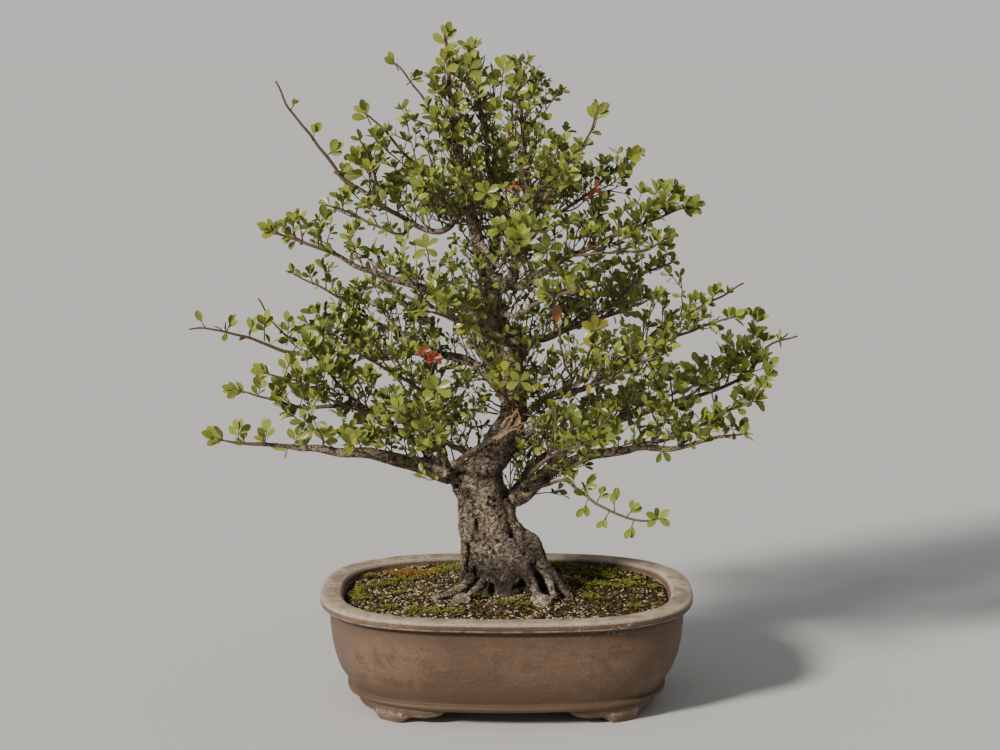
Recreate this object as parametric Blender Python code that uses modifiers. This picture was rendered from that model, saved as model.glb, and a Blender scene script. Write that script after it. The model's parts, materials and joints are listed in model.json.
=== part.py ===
"""A Japanese barberry bonsai in its bowed rectangular stoneware pot, at its real size.

The tree is laid out as it looks from in front. A point of a limb is given in millimetres across and up
on the upright plane through the middle of the pot, and then set back along the line of sight to its depth.
The trunk, its roots and its limbs grew as one piece. Each leafy shoot goes on from the end of a branch.
"""

import math
import random

import bmesh
import bpy
from mathutils import Matrix, Vector, noise
from mathutils.bvhtree import BVHTree

MM = 0.001

# The eye that the tree is laid out from, and the middle of the whole object on that plane
EYE_DISTANCE = 2000.0
EYE_PITCH = math.radians(8.7)
EYE_HEIGHT_AIM = 297.0
MIDDLE_ACROSS = -6.0
MIDDLE_BACK = 3.0

# Pot, with half sizes measured from its own centre line
POT_ACROSS = 6.0
RIM_HALF_LENGTH = 169.0
RIM_HALF_WIDTH = 134.0
RIM_HEIGHT = 102.3
LIP_WIDTH = 20.0
LIP_THICKNESS = 9.5
BODY_TOP = 160.3
BODY_WAIST = 151.6
BODY_FOOT = 142.0
BELT_TOP = 21.6
BELT_BULGE = 2.0
UNDERSIDE = 14.5
FLOOR_TOP = 22.0
WALL = 11.5
PLAN_POWER = 2.8
PLAN_STEPS = 32
PLAN_BLEND = 100.0
INNER_CURVE = 0.7
# The flat floor stops short of the wall, which rises from FLOOR_CORNER and bends at WALL_BEND
FLOOR_SHORT = 10.0
FLOOR_CORNER = FLOOR_TOP + 6
WALL_BEND = 60.0

# Each foot from one scroll end to the other: the way it lies from the pot's middle, in degrees, and how
# high its sole is. It stands on the pad under the corner, with a raised wing on either side.
FOOT_COURSE = (
    (14.5, 10.5), (19, 6.5), (37, 6.5), (40, 0.0), (47, 0.0), (54, 0.0), (57, 6.5), (68, 6.5), (72, 10.5),
)
FOOT_DEPTH = 24.0
FOOT_INSET = 3.0
FOOT_SCROLL = 5.0

DRAIN_RADIUS = 11.0
DRAIN_OFFSET = 62.0
SCREEN_SIDE = 34.0
SCREEN_BAR = 3.0
SCREEN_GAPS = 2
SCREEN_THICKNESS = 1.2

# Soil, whose surface rises from the walls to the trunk
SOIL_EDGE = 92.0
SOIL_MOUND = 12.0
SOIL_MOUND_AT = 4.0
SOIL_MOUND_SPREAD = 66.0
SOIL_MOUND_OVAL = 1.15
SOIL_ROUGHNESS = 2.2
SOIL_RISE_BACK = 3.5
SOIL_RINGS = (0, 40, 76, 110)

# Gaps between pieces that touch on the real thing
GAP = 0.3
SOIL_WALL_GAP = 0.5
CUT_GAP = 0.45

# Leaves
LEAF_KEEL = 1.3
LEAF_SINK = 1.2
CROWN_AXIS = (0, 300, 0)
LEAF_KEEL_AT = 0.34
LEAF_WIDTH_SHARE = 0.52
LEAF_SPREAD = (0.85, 1.12)
LEAF_TURN = 2.4
LEAF_ROOM = 1.0
SHOOT_ROOM = 0.2
LEAF_TRIES = 14
LEAF_RIM = (
    (0.0, 0.08), (0.42, 0.36), (0.80, 0.50), (1.0, 0.0), (0.80, -0.50), (0.42, -0.36), (0.0, -0.08),
)

# How far a leaf or a side twig leans along its twig, out from it and upwards, and where a leaf faces
LEAN_AT_TIP = 0.9
LEAN_ALONG = 0.45
LEAN_OUT = 0.8
TWIG_OUT = 0.9
TWIG_ALONG = 0.55
UPWARD = Vector((0, 0, 0.25))
FACE_OUT = 0.9
FACE_UP = 0.7
FACE_ASIDE = 0.3

# How quickly a limb thins: 1 is even, less thins sooner
TAPER = 0.65

# Side twigs: radii at foot and end, lengths, how far each swings and how much shorter each new try is.
# They and the leaves are spread over a stretch of their shoot, from one share of its length on.
TWIG_FOOT = 1.0
TWIG_END = 0.8
TWIG_LENGTHS = (20.0, 30.0)
TWIG_SWING = 0.7
TWIG_CUT = 0.03
TWIGS_FROM = 0.18
TWIGS_OVER = 0.62
LEAVES_FROM = 0.16
LEAVES_OVER = 0.78

# Bevel resolution of the round limbs: 0 gives four sides, 1 six and 2 eight
TWIG_SIDES = 0
LIMB_SIDES = 1
THICK_LIMB_SIDES = 2
THICK_LIMB = 8.0
THIN_LIMB = 5.0

# Trunk sections: across, up, back, half width, half depth
TRUNK = (
    (10, 62, 4, 40, 34),
    (10, 92, 4, 44, 37),
    (10, 106, 4, 45, 38),
    (8, 121, 4, 40.5, 35),
    (3, 137, 4, 35.5, 32),
    (0, 149, 4, 32.5, 29),
    (-6, 160, 4, 27.5, 26),
    (-9, 170, 5, 25.5, 24),
    (-11, 184, 6, 27.5, 25),
    (-18.5, 198, 8, 26, 24),
    (-18, 212, 8, 21.5, 21),
    (-7.5, 227, 8, 17, 17.5),
    (4, 243, 6, 15, 15),
)
TRUNK_SIDES = 12
TRUNK_KNOBS = 2.4
TRUNK_KNOB_LENGTH = 16.0
TRUNK_RIDGES = 5
TRUNK_RIDGE_DEPTH = 0.10
TRUNK_FLARE_AT = 104.0
TRUNK_FLARE_REACH = 32.0

# Roots: bearing round the trunk in degrees, length, first radius, and the bearing that it bends to.
# Each one's course is a share of its length and how far it lies below the middle of the trunk's foot.
ROOTS = (
    (186, 62, 9, 205),
    (222, 54, 10, 236),
    (262, 52, 11, 255),
    (296, 56, 12, 304),
    (332, 60, 11, 322),
    (8, 58, 10, 16),
    (58, 54, 11, 50),
    (118, 56, 11, 128),
)

ROOT_COURSE = ((0.3, -12), (0.66, -1), (0.98, 6), (1.25, 19))
ROOT_OVAL = 0.88
ROOT_THINNING = 0.62
ROOT_LEVEL = TRUNK[2][:3]

# Stones, half sunk in the soil: name, place across and back from the pot's centre, and half sizes
STONES = (
    ("stone_left", -60, -36, 8.0, 5.5, 5.0),
    ("stone_middle", -39, -48, 9.0, 6.5, 5.5),
    ("stone_right", 31, -54, 9.5, 7.0, 7.5),
)
STONE_OUT = 0.3
STONE_LUMPS = 0.22

# Limbs: name, parent, where on it they start (share of its length), first and last radius, the number of
# points that stay wood before the leafy shoot takes over (None where there is no shoot), leaf length, number
# of leaves, number of side twigs, and the points (across, up, back)
LIMBS = (
    ("leader", "trunk", 0.94, 15.0, 1.2, 13, 15, 6, 2, (
        (8, 252, 5), (12, 266, 4), (13.5, 283, 4), (12, 301, 4), (12, 320, 5), (2, 338, 8), (-4, 357, 10),
        (-8, 376, 9), (-14, 398, 7), (-20, 420, 5), (-28, 450, 2), (-36, 490, 0), (-42, 530, -2),
        (-46, 562, -3), (-48, 590, -3), (-49.5, 607, -4))),
    ("left_limb", "trunk", 0.80, 12.0, 0.9, 5, 18, 9, 2, (
        (-48, 209, -8), (-72, 216, -18), (-89, 220, -26), (-108, 225, -34), (-124, 227, -40),
        (-154, 229, -48), (-193, 233, -55), (-229, 236, -58), (-250, 238, -60))),
    ("right_limb", "trunk", 0.62, 11.0, 0.9, 7, 17, 9, 2, (
        (16, 188, -4), (32, 199, -10), (48, 212, -16), (81, 225, -24), (107, 228, -31), (126, 232, -36),
        (158, 231, -42), (181, 237, -46), (203, 243, -50), (218, 243, -52))),
    ("left_rise", "left_limb", 0.16, 6.0, 1.0, 4, 14, 7, 2, (
        (-52, 232, 4), (-54, 254, 8), (-58, 276, 10), (-61, 298, 12), (-66, 322, 13), (-74, 348, 14))),
    ("front_stub", "left_limb", 0.05, 5.4, 3.6, None, 0, 0, 0, (
        (-38, 219, -20), (-22, 231, -27), (-5, 241, -29), (9, 245, -28))),
    ("cut_stub", "trunk", 0.72, 6.5, 4.4, None, 0, 0, 0, (
        (16, 236, -14), (36, 254, -24), (53, 268, -30))),
    ("right_fork", "right_limb", 0.60, 2.6, 0.9, 1, 17, 7, 2, (
        (156, 242, -34), (174, 250, -32), (203, 263, -28), (226, 276, -24), (240, 296, -20))),
    ("second_left", "left_limb", 0.14, 5.0, 0.9, 4, 15, 6, 2, (
        (-76, 237, -16), (-98, 250, -22), (-120, 265, -28), (-131, 270, -31), (-153, 268, -38),
        (-176, 268, -43), (-206, 275, -47), (-231, 281, -50))),
    ("left_shoot", "second_left", 0.38, 3.0, 0.9, 1, 18, 7, 1, (
        (-139, 282, -30), (-152, 297, -33), (-169, 317, -38))),
    ("left_twig", "second_left", 0.40, 1.8, 0.8, 1, 14, 6, 1, (
        (-160, 278, -52), (-176, 288, -62), (-193, 295, -68), (-207, 297, -70))),
    ("long_left", "leader", 0.10, 6.0, 0.8, 5, 17, 7, 2, (
        (-20, 305, 20), (-60, 316, 26), (-108, 318, 26), (-148, 317, 20), (-185, 317, 12),
        (-211, 325, 6), (-236, 333, 0), (-262, 339, -4), (-280, 338, -6))),
    ("bare_left", "long_left", 0.60, 1.5, 0.8, 1, 13, 3, 0, (
        (-192, 332, 16), (-208, 351, 14), (-218, 366, 12))),
    ("mid_left", "leader", 0.31, 7.5, 0.9, 6, 15, 7, 2, (
        (-11, 347, -8), (-40, 364, -24), (-54, 370, -30), (-90, 382, -36), (-112, 389, -39), (-130, 395, -41),
        (-147, 404, -42), (-168, 413, -44), (-191, 421, -44), (-204, 425, -44))),
    ("mid_left_low", "long_left", 0.26, 3.2, 0.8, 2, 14, 6, 2, (
        (-88, 334, 42), (-122, 350, 52), (-154, 372, 56), (-186, 388, 58))),
    ("upper_left", "leader", 0.60, 4.0, 0.9, 4, 20, 4, 0, (
        (-54, 426, 18), (-97, 444, 24), (-116, 458, 26), (-140, 472, 26), (-150, 487, 26), (-168, 510, 24),
        (-190, 537, 22), (-202, 562, 20))),
    ("upper_left_low", "upper_left", 0.30, 2.2, 0.8, 1, 14, 6, 2, (
        (-88, 424, 38), (-116, 434, 48), (-142, 446, 54), (-164, 452, 58))),
    ("upper_left_high", "upper_left", 0.42, 2.0, 0.8, 1, 14, 7, 2, (
        (-112, 474, 10), (-118, 492, 2), (-126, 508, -4))),
    ("upper_shoot_left", "leader", 0.70, 2.0, 0.8, 1, 15, 6, 1, (
        (-50, 516, 16), (-68, 545, 22), (-80, 560, 25), (-94, 577, 26))),
    ("upper_shoot_low", "leader", 0.64, 2.4, 0.8, 2, 14, 6, 2, (
        (-56, 472, -16), (-84, 494, -24), (-106, 520, -26), (-126, 535, -28))),
    ("stem_right", "leader", 0.42, 6.5, 0.9, 5, 14, 7, 2, (
        (8, 378, 0), (15, 404, -2), (22, 428, -3), (26, 462, -3), (22, 500, 0), (18, 540, 4), (14, 578, 6))),
    ("stem_back", "leader", 0.46, 6.0, 0.9, 4, 14, 7, 2, (
        (-6, 396, 30), (-2, 428, 44), (-8, 470, 50), (-14, 512, 48), (-20, 552, 44), (-25, 588, 40))),
    ("upper_right", "stem_right", 0.38, 2.6, 0.8, 2, 14, 7, 2, (
        (40, 455, -14), (54, 478, -22), (70, 500, -26), (82, 516, -28), (88, 534, -30))),
    ("upper_right_low", "stem_right", 0.26, 3.0, 0.8, 2, 14, 7, 2, (
        (46, 438, 8), (72, 455, 12), (94, 473, 12), (107, 485, 10), (123, 495, 8))),
    ("right_high", "stem_right", 0.03, 5.0, 0.9, 3, 15, 7, 2, (
        (19, 376, -8), (45, 395, -16), (80, 412, -22), (102, 421, -24), (122, 429, -26), (141, 438, -28),
        (160, 446, -30), (173, 449, -30))),
    ("right_high_low", "right_high", 0.42, 1.8, 0.8, 1, 14, 5, 1, (
        (108, 407, -40), (132, 411, -46), (151, 420, -50))),
    ("right_back", "leader", 0.24, 4.6, 0.9, 3, 14, 6, 2, (
        (38, 330, 24), (70, 344, 38), (100, 358, 44), (120, 382, 44), (134, 391, 42), (154, 398, 40))),
    ("right_mid", "leader", 0.04, 4.8, 0.9, 5, 15, 6, 2, (
        (44, 278, -8), (66, 282, -14), (88, 290, -22), (106, 302, -30), (129, 317, -36), (147, 327, -40),
        (174, 337, -44), (195, 345, -46), (209, 348, -48))),
    ("right_mid_upper", "right_mid", 0.55, 1.8, 0.8, 1, 14, 6, 1, (
        (140, 336, -24), (158, 348, -20), (178, 357, -18), (196, 366, -16), (219, 380, -14))),
    ("far_right", "right_limb", 0.20, 5.4, 0.8, 4, 17, 7, 2, (
        (64, 234, 6), (98, 252, 16), (138, 267, 20), (178, 279, 18), (213, 291, 12), (228, 303, 10),
        (237, 319, 8), (253, 328, 4), (268, 332, 2))),
    ("hanging", "right_limb", 0.16, 2.2, 0.9, 2, 18, 7, 1, (
        (56, 202, -34), (71, 193, -46), (94, 177, -60), (110, 170, -66), (126, 166, -70), (145, 168, -74))),
    ("front_big", "leader", 0.08, 2.6, 1.0, 2, 20, 7, 0, (
        (2, 290, -30), (-3, 302, -52), (-16, 313, -60), (-24, 326, -66), (-28, 338, -68))),
    ("red_stem", "right_mid", 0.16, 1.7, 1.0, 1, 18, 2, 0, (
        (62, 290, -32), (58, 306, -38), (55, 326, -42), (54, 340, -44))),
    ("yellow_shoot", "right_mid", 0.24, 1.8, 0.9, 1, 17, 6, 0, (
        (72, 292, -38), (76, 306, -48), (82, 322, -52), (86, 336, -54))),
    ("front_low_right", "right_limb", 0.10, 3.0, 0.9, 2, 18, 6, 2, (
        (36, 216, -40), (54, 228, -72), (74, 234, -104), (92, 240, -132))),
    ("front_low_left", "left_limb", 0.12, 3.2, 0.9, 2, 18, 6, 2, (
        (-54, 226, -42), (-66, 240, -76), (-80, 254, -108), (-92, 266, -136))),
    ("front_mid_left", "leader", 0.27, 3.8, 0.9, 2, 17, 7, 2, (
        (-8, 330, -36), (-28, 342, -78), (-50, 350, -116), (-70, 356, -146))),
    ("front_mid_right", "leader", 0.34, 3.8, 0.9, 2, 15, 7, 2, (
        (14, 350, -34), (34, 362, -78), (56, 370, -118), (74, 374, -150))),
    ("front_centre", "leader", 0.52, 3.6, 0.9, 2, 17, 7, 2, (
        (-2, 396, -40), (6, 408, -90), (14, 416, -136), (18, 420, -168))),
    ("front_high_left", "leader", 0.64, 3.0, 0.9, 2, 15, 7, 2, (
        (-36, 440, -30), (-54, 456, -64), (-72, 466, -98))),
    ("front_high_right", "stem_right", 0.46, 2.8, 0.9, 2, 15, 7, 2, (
        (34, 462, -40), (46, 474, -74), (60, 480, -106))),
    ("back_low_left", "trunk", 0.84, 5.0, 0.9, 3, 15, 5, 1, (
        (-26, 224, 40), (-50, 238, 84), (-74, 250, 120), (-92, 260, 152), (-106, 268, 178))),
    ("back_low_right", "right_limb", 0.08, 4.6, 0.9, 3, 15, 5, 1, (
        (34, 220, 36), (62, 238, 80), (90, 252, 118), (112, 262, 148), (128, 268, 172))),
    ("back_centre", "leader", 0.05, 4.6, 0.9, 3, 15, 5, 1, (
        (8, 286, 46), (2, 300, 92), (-6, 312, 134), (-10, 322, 172))),
    ("back_mid_left", "leader", 0.26, 4.0, 0.9, 2, 15, 5, 1, (
        (-24, 340, 52), (-56, 356, 92), (-86, 368, 122), (-114, 378, 144))),
    ("back_mid_right", "right_back", 0.20, 3.6, 0.9, 2, 15, 5, 1, (
        (58, 336, 70), (86, 346, 104), (112, 356, 132), (132, 364, 154))),
    ("back_high_left", "stem_back", 0.28, 3.2, 0.9, 2, 15, 5, 1, (
        (-24, 432, 78), (-48, 446, 106), (-72, 458, 128))),
    ("back_high_right", "stem_back", 0.34, 3.2, 0.9, 2, 15, 5, 1, (
        (18, 434, 82), (42, 448, 110), (64, 460, 130))),
    ("back_high", "stem_back", 0.54, 2.6, 0.9, 1, 15, 5, 1, (
        (-2, 470, 82), (4, 486, 108), (8, 498, 128))),
    ("left_back_fill", "long_left", 0.36, 3.0, 0.8, 1, 15, 5, 1, (
        (-104, 312, 60), (-132, 318, 88), (-160, 326, 112))),
    ("right_back_fill", "far_right", 0.34, 3.0, 0.8, 1, 15, 5, 1, (
        (114, 262, 56), (146, 276, 84), (176, 288, 108))),
    ("left_front_fill", "left_rise", 0.42, 2.6, 0.8, 2, 14, 6, 2, (
        (-72, 284, -22), (-94, 298, -48), (-116, 310, -70), (-136, 322, -88))),
    ("right_front_fill", "right_mid", 0.36, 2.6, 0.8, 1, 15, 6, 2, (
        (104, 296, -66), (128, 308, -92), (150, 318, -114))),
)

COLOURS = {
    "pot": ((0.19, 0.14, 0.11), 0.75),
    "soil": ((0.05, 0.035, 0.022), 0.95),
    "stone": ((0.45, 0.42, 0.36), 0.8),
    "bark": ((0.12, 0.09, 0.065), 0.9),
    "leaf": ((0.13, 0.2, 0.035), 0.5),
    "screen": ((0.02, 0.02, 0.02), 0.6),
}


def seen(across, up, back):
    """The point, in metres, that lies `back` behind the middle plane and looks from in front to be there."""
    rise = up - EYE_HEIGHT_AIM
    cosine, sine = math.cos(EYE_PITCH), math.sin(EYE_PITCH)
    reach = EYE_DISTANCE + back * cosine
    height = (rise * reach - back * sine * EYE_DISTANCE) / (cosine * EYE_DISTANCE + rise * sine)
    x = across * (reach - height * sine) / EYE_DISTANCE
    return Vector((x - MIDDLE_ACROSS, back - MIDDLE_BACK, EYE_HEIGHT_AIM + height)) * MM


def clear_scene():
    for obj in list(bpy.data.objects):
        bpy.data.objects.remove(obj)


def new_collection(name):
    collection = bpy.data.collections.new(name)
    bpy.context.scene.collection.children.link(collection)
    return collection


def material(name, kind):
    """A plain Principled material with the piece's own colour and roughness."""
    colour, roughness = COLOURS[kind]
    made = bpy.data.materials.new(name)
    made.use_nodes = True
    shader = made.node_tree.nodes["Principled BSDF"]
    shader.inputs["Base Color"].default_value = (*colour, 1)
    shader.inputs["Roughness"].default_value = roughness
    shader.inputs["Metallic"].default_value = 0
    made.diffuse_color = (*colour, 1)
    return made


def mesh_object(name, mesh, collection, kind=None):
    obj = bpy.data.objects.new(name, mesh)
    collection.objects.link(obj)
    if kind:
        mesh.materials.clear()
        mesh.materials.append(material(name, kind))
    return obj


def from_bmesh(name, bm):
    bmesh.ops.recalc_face_normals(bm, faces=bm.faces)
    if bm.calc_volume(signed=True) < 0:
        bmesh.ops.reverse_faces(bm, faces=bm.faces)
    mesh = bpy.data.meshes.new(name)
    bm.to_mesh(mesh)
    bm.free()
    return mesh


def evaluated_mesh(obj):
    """The mesh that the object's curve or modifiers give, as a mesh of its own."""
    bpy.context.view_layer.update()
    graph = bpy.context.evaluated_depsgraph_get()
    return bpy.data.meshes.new_from_object(obj.evaluated_get(graph))


def loft(name, rings):
    """A closed mesh through rings of equal count, its quads split into triangles that all lean one way."""
    bm = bmesh.new()
    loops = [[bm.verts.new(point) for point in ring] for ring in rings]
    count = len(loops[0])
    bm.faces.new(list(reversed(loops[0])))
    for low, high in zip(loops, loops[1:]):
        for i in range(count):
            j = (i + 1) % count
            bm.faces.new((low[i], low[j], high[j]))
            bm.faces.new((low[i], high[j], high[i]))
    bm.faces.new(loops[-1])
    return from_bmesh(name, bm)


def tube(name, path, radii, sides):
    """A limb or twig along the path as a mesh, made from a curve whose bevel follows the radii."""
    curve = bpy.data.curves.new(name, "CURVE")
    curve.dimensions = "3D"
    curve.bevel_depth = 1.0
    curve.bevel_resolution = sides
    curve.use_fill_caps = True
    spline = curve.splines.new("POLY")
    spline.points.add(len(path) - 1)
    for point, place, radius in zip(spline.points, path, radii):
        point.co = (*place, 1.0)
        point.radius = radius * MM
    guide = bpy.data.objects.new(name, curve)
    bpy.context.scene.collection.objects.link(guide)
    mesh = evaluated_mesh(guide)
    bpy.data.objects.remove(guide)
    bpy.data.curves.remove(curve)
    bm = bmesh.new()
    bm.from_mesh(mesh)
    bpy.data.meshes.remove(mesh)
    bmesh.ops.remove_doubles(bm, verts=bm.verts, dist=1e-7)
    return from_bmesh(name, bm)


def outer_skin(mesh):
    """Keeps the mesh's largest skin of joined faces: sealed hollows are filled and loose scraps dropped."""
    bm = bmesh.new()
    bm.from_mesh(mesh)
    waiting = set(bm.faces)
    skins = []
    while waiting:
        front = [waiting.pop()]
        skin = list(front)
        while front:
            face = front.pop()
            near = {other for edge in face.edges for other in edge.link_faces} & waiting
            waiting -= near
            front += near
            skin += near
        skins.append(skin)
    skins.sort(key=len)
    for skin in skins[:-1]:
        bmesh.ops.delete(bm, geom=skin, context="FACES")
    bmesh.ops.delete(bm, geom=[vertex for vertex in bm.verts if not vertex.link_faces], context="VERTS")
    bm.to_mesh(mesh)
    bm.free()


def boolean(obj, meshes, operation, solver="MANIFOLD"):
    """Joins the meshes to the object, or cuts them from it, in one step, and removes them."""
    pieces = bpy.data.collections.new("pieces")
    bpy.context.scene.collection.children.link(pieces)
    for mesh in meshes:
        mesh_object("piece", mesh, pieces)
    modifier = obj.modifiers.new(operation.lower(), "BOOLEAN")
    modifier.operation = operation
    modifier.operand_type = "COLLECTION"
    modifier.collection = pieces
    modifier.solver = solver
    slots = list(obj.data.materials)
    result = evaluated_mesh(obj)
    obj.modifiers.clear()
    for piece in list(pieces.objects):
        bpy.data.objects.remove(piece)
    bpy.data.collections.remove(pieces)
    outer_skin(result)
    obj.data = result
    result.materials.clear()
    for slot in slots:
        result.materials.append(slot)


def turned(name, profile):
    """A closed profile turned round the vertical with a Screw, then pressed to the pot's bowed plan."""
    bm = bmesh.new()
    verts = [bm.verts.new((r * MM, 0, z * MM)) for r, z in profile]
    for a, b in zip(verts, verts[1:]):
        bm.edges.new((a, b))
    mesh = bpy.data.meshes.new(name)
    bm.to_mesh(mesh)
    bm.free()
    guide = bpy.data.objects.new(name, mesh)
    bpy.context.scene.collection.objects.link(guide)
    screw = guide.modifiers.new("turn", "SCREW")
    screw.steps = screw.render_steps = PLAN_STEPS
    screw.use_merge_vertices = True
    screw.merge_threshold = 1e-5
    made = evaluated_mesh(guide)
    bpy.data.objects.remove(guide)
    for vertex in made.vertices:
        vertex.co = to_plan(vertex.co)
    bm = bmesh.new()
    bm.from_mesh(made)
    bpy.data.meshes.remove(made)
    bmesh.ops.remove_doubles(bm, verts=bm.verts, dist=1e-6)
    return from_bmesh(name, bm)


def plan_point(radius, angle):
    """The point on the bowed plan whose half length is `radius`, all in millimetres from the pot's centre."""
    narrower = (RIM_HALF_LENGTH - RIM_HALF_WIDTH) * min(1.0, radius / PLAN_BLEND)
    power = 2.0 + (PLAN_POWER - 2.0) * min(1.0, radius / PLAN_BLEND)
    c, s = math.cos(angle), math.sin(angle)
    x = radius * math.copysign(abs(c) ** (2 / power), c)
    y = (radius - narrower) * math.copysign(abs(s) ** (2 / power), s)
    return x, y


def to_plan(point):
    radius = math.hypot(point.x, point.y) / MM
    x, y = plan_point(radius, math.atan2(point.y, point.x))
    return Vector((x * MM, y * MM, point.z))


def pot_centre():
    return Vector(((POT_ACROSS - MIDDLE_ACROSS) * MM, -MIDDLE_BACK * MM, 0))


def moved(mesh, shift):
    mesh.transform(Matrix.Translation(shift))
    return mesh


def inner_wall(height):
    """The pot's inner half length at a height, between floor and lip."""
    share = (height - FLOOR_TOP) / (RIM_HEIGHT - FLOOR_TOP)
    foot = BODY_FOOT - WALL
    top = RIM_HALF_LENGTH - LIP_WIDTH
    return foot + (top - foot) * share**INNER_CURVE


def pot_mesh():
    """The fired body: floor, walls, lip and belt moulding."""
    lip_bottom = RIM_HEIGHT - LIP_THICKNESS
    profile = [(0, FLOOR_TOP), (BODY_FOOT - WALL - FLOOR_SHORT, FLOOR_TOP)]
    profile += [(inner_wall(h), h) for h in (FLOOR_CORNER, WALL_BEND, SOIL_EDGE, RIM_HEIGHT - 3)]
    profile += [
        (RIM_HALF_LENGTH - LIP_WIDTH + 3, RIM_HEIGHT),
        (RIM_HALF_LENGTH - 3, RIM_HEIGHT),
        (RIM_HALF_LENGTH, RIM_HEIGHT - 2.5),
        (RIM_HALF_LENGTH - 3, lip_bottom),
        (BODY_TOP, lip_bottom - 1.5),
        (BODY_TOP - 2, WALL_BEND + 2),
        (BODY_WAIST, 38),
        (BODY_FOOT, BELT_TOP + 1),
        (BODY_FOOT + BELT_BULGE, BELT_TOP - 1.5),
        (BODY_FOOT + BELT_BULGE - 0.6, UNDERSIDE + 3),
        (BODY_FOOT - 2.5, UNDERSIDE),
        (0, UNDERSIDE),
    ]
    return turned("pot", profile)


def foot_mesh(turn, mirror):
    """One scroll foot, which follows the corner of the belt and rolls up at both ends."""
    top = UNDERSIDE + 3
    first, last = FOOT_COURSE[0][0], FOOT_COURSE[-1][0]
    rings = []
    for degrees, rise in FOOT_COURSE:
        angle = math.radians(degrees)
        outer = BODY_FOOT - FOOT_INSET - FOOT_SCROLL * abs(2 * (degrees - first) / (last - first) - 1) ** 3
        ring = []
        for radius, height in (
            (outer, top),
            (outer - 0.5, rise + 2.5),
            (outer - 3.0, rise),
            (outer - FOOT_DEPTH, rise),
            (outer - FOOT_DEPTH - 2, top),
        ):
            x, y = plan_point(radius, angle)
            ring.append(Vector((x * turn * MM, y * mirror * MM, height * MM)))
        rings.append(ring)
    return loft("foot", rings)


def cone(name, start, end, first, last):
    """A straight three-sided twig between two points, with a radius at each."""
    bm = bmesh.new()
    length = (end - start).length
    bmesh.ops.create_cone(bm, cap_ends=True, segments=3, radius1=first, radius2=last, depth=length)
    turn = Vector((0, 0, 1)).rotation_difference(end - start).to_matrix().to_4x4()
    bmesh.ops.transform(bm, matrix=Matrix.Translation((start + end) / 2) @ turn, verts=bm.verts)
    return from_bmesh(name, bm)


def cylinder(radius, low, high, centre):
    bm = bmesh.new()
    bmesh.ops.create_cone(bm, cap_ends=True, segments=24, radius1=radius * MM, radius2=radius * MM,
                          depth=(high - low) * MM)
    bmesh.ops.translate(bm, verts=bm.verts, vec=centre + Vector((0, 0, (low + high) / 2 * MM)))
    return from_bmesh("cylinder", bm)


def box(size, centre):
    bm = bmesh.new()
    bmesh.ops.create_cube(bm, size=1)
    bmesh.ops.scale(bm, verts=bm.verts, vec=size)
    bmesh.ops.translate(bm, verts=bm.verts, vec=centre)
    return from_bmesh("box", bm)


def drain_places():
    return [pot_centre() + Vector((side * DRAIN_OFFSET * MM, 0, 0)) for side in (-1, 1)]


def build_pot(parts):
    pot = mesh_object("pot", moved(pot_mesh(), pot_centre()), parts, "pot")
    feet = [moved(foot_mesh(turn, mirror), pot_centre()) for turn in (-1, 1) for mirror in (-1, 1)]
    boolean(pot, feet, "UNION", "EXACT")
    drains = [cylinder(DRAIN_RADIUS, UNDERSIDE - 3, FLOOR_TOP + 3, place) for place in drain_places()]
    boolean(pot, drains, "DIFFERENCE", "EXACT")
    pot.data.shade_smooth()
    pot.data.set_sharp_from_angle(angle=math.radians(35))


def square(spline_owner, side, x, y):
    """A square outline, as one loop of a flat curve."""
    spline = spline_owner.splines.new("POLY")
    spline.points.add(3)
    for point, (i, j) in zip(spline.points, ((-1, -1), (1, -1), (1, 1), (-1, 1))):
        point.co = ((x + i * side / 2) * MM, (y + j * side / 2) * MM, 0, 1)
    spline.use_cyclic_u = True


def build_screens(parts):
    """The mesh squares over the drain holes: a flat outline with square gaps, fewer than the real net has."""
    pitch = (SCREEN_SIDE - SCREEN_BAR) / SCREEN_GAPS
    steps = [(i - (SCREEN_GAPS - 1) / 2) * pitch for i in range(SCREEN_GAPS)]
    middle = Vector((0, 0, (FLOOR_TOP + GAP + SCREEN_THICKNESS / 2) * MM))
    for name, place in zip(("drain_screen_left", "drain_screen_right"), drain_places()):
        outline = bpy.data.curves.new(name, "CURVE")
        outline.dimensions = "2D"
        outline.fill_mode = "BOTH"
        outline.extrude = SCREEN_THICKNESS / 2 * MM
        square(outline, SCREEN_SIDE, 0, 0)
        for x in steps:
            for y in steps:
                square(outline, pitch - SCREEN_BAR, x, y)
        outline.materials.append(material(name, "screen"))
        screen = bpy.data.objects.new(name, outline)
        parts.objects.link(screen)
        screen.location = place + middle


def trunk_rings(extra, stations):
    """Rings of the trunk through its sections, knobbly, each pushed out by extra millimetres."""
    rings = []
    for across, up, back, half_width, half_depth in stations:
        centre = seen(across, up, back)
        ring = []
        for i in range(TRUNK_SIDES):
            angle = math.tau * i / TRUNK_SIDES
            way = Vector((math.cos(angle), math.sin(angle), 0))
            knob = TRUNK_KNOBS * noise.noise(way * 1.7 + Vector((0, 0, up / TRUNK_KNOB_LENGTH)))
            near_soil = max(0.0, 1 - abs(up - TRUNK_FLARE_AT) / TRUNK_FLARE_REACH)
            flare = 1 + TRUNK_RIDGE_DEPTH * math.cos(TRUNK_RIDGES * angle) * near_soil
            x = (half_width * flare + knob + extra) * way.x
            y = (half_depth * flare + knob + extra) * way.y
            ring.append(centre + Vector((x, y, 0)) * MM)
        rings.append(ring)
    return rings


def trunk_line():
    return [seen(across, up, back) for across, up, back, _, _ in TRUNK]


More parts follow.
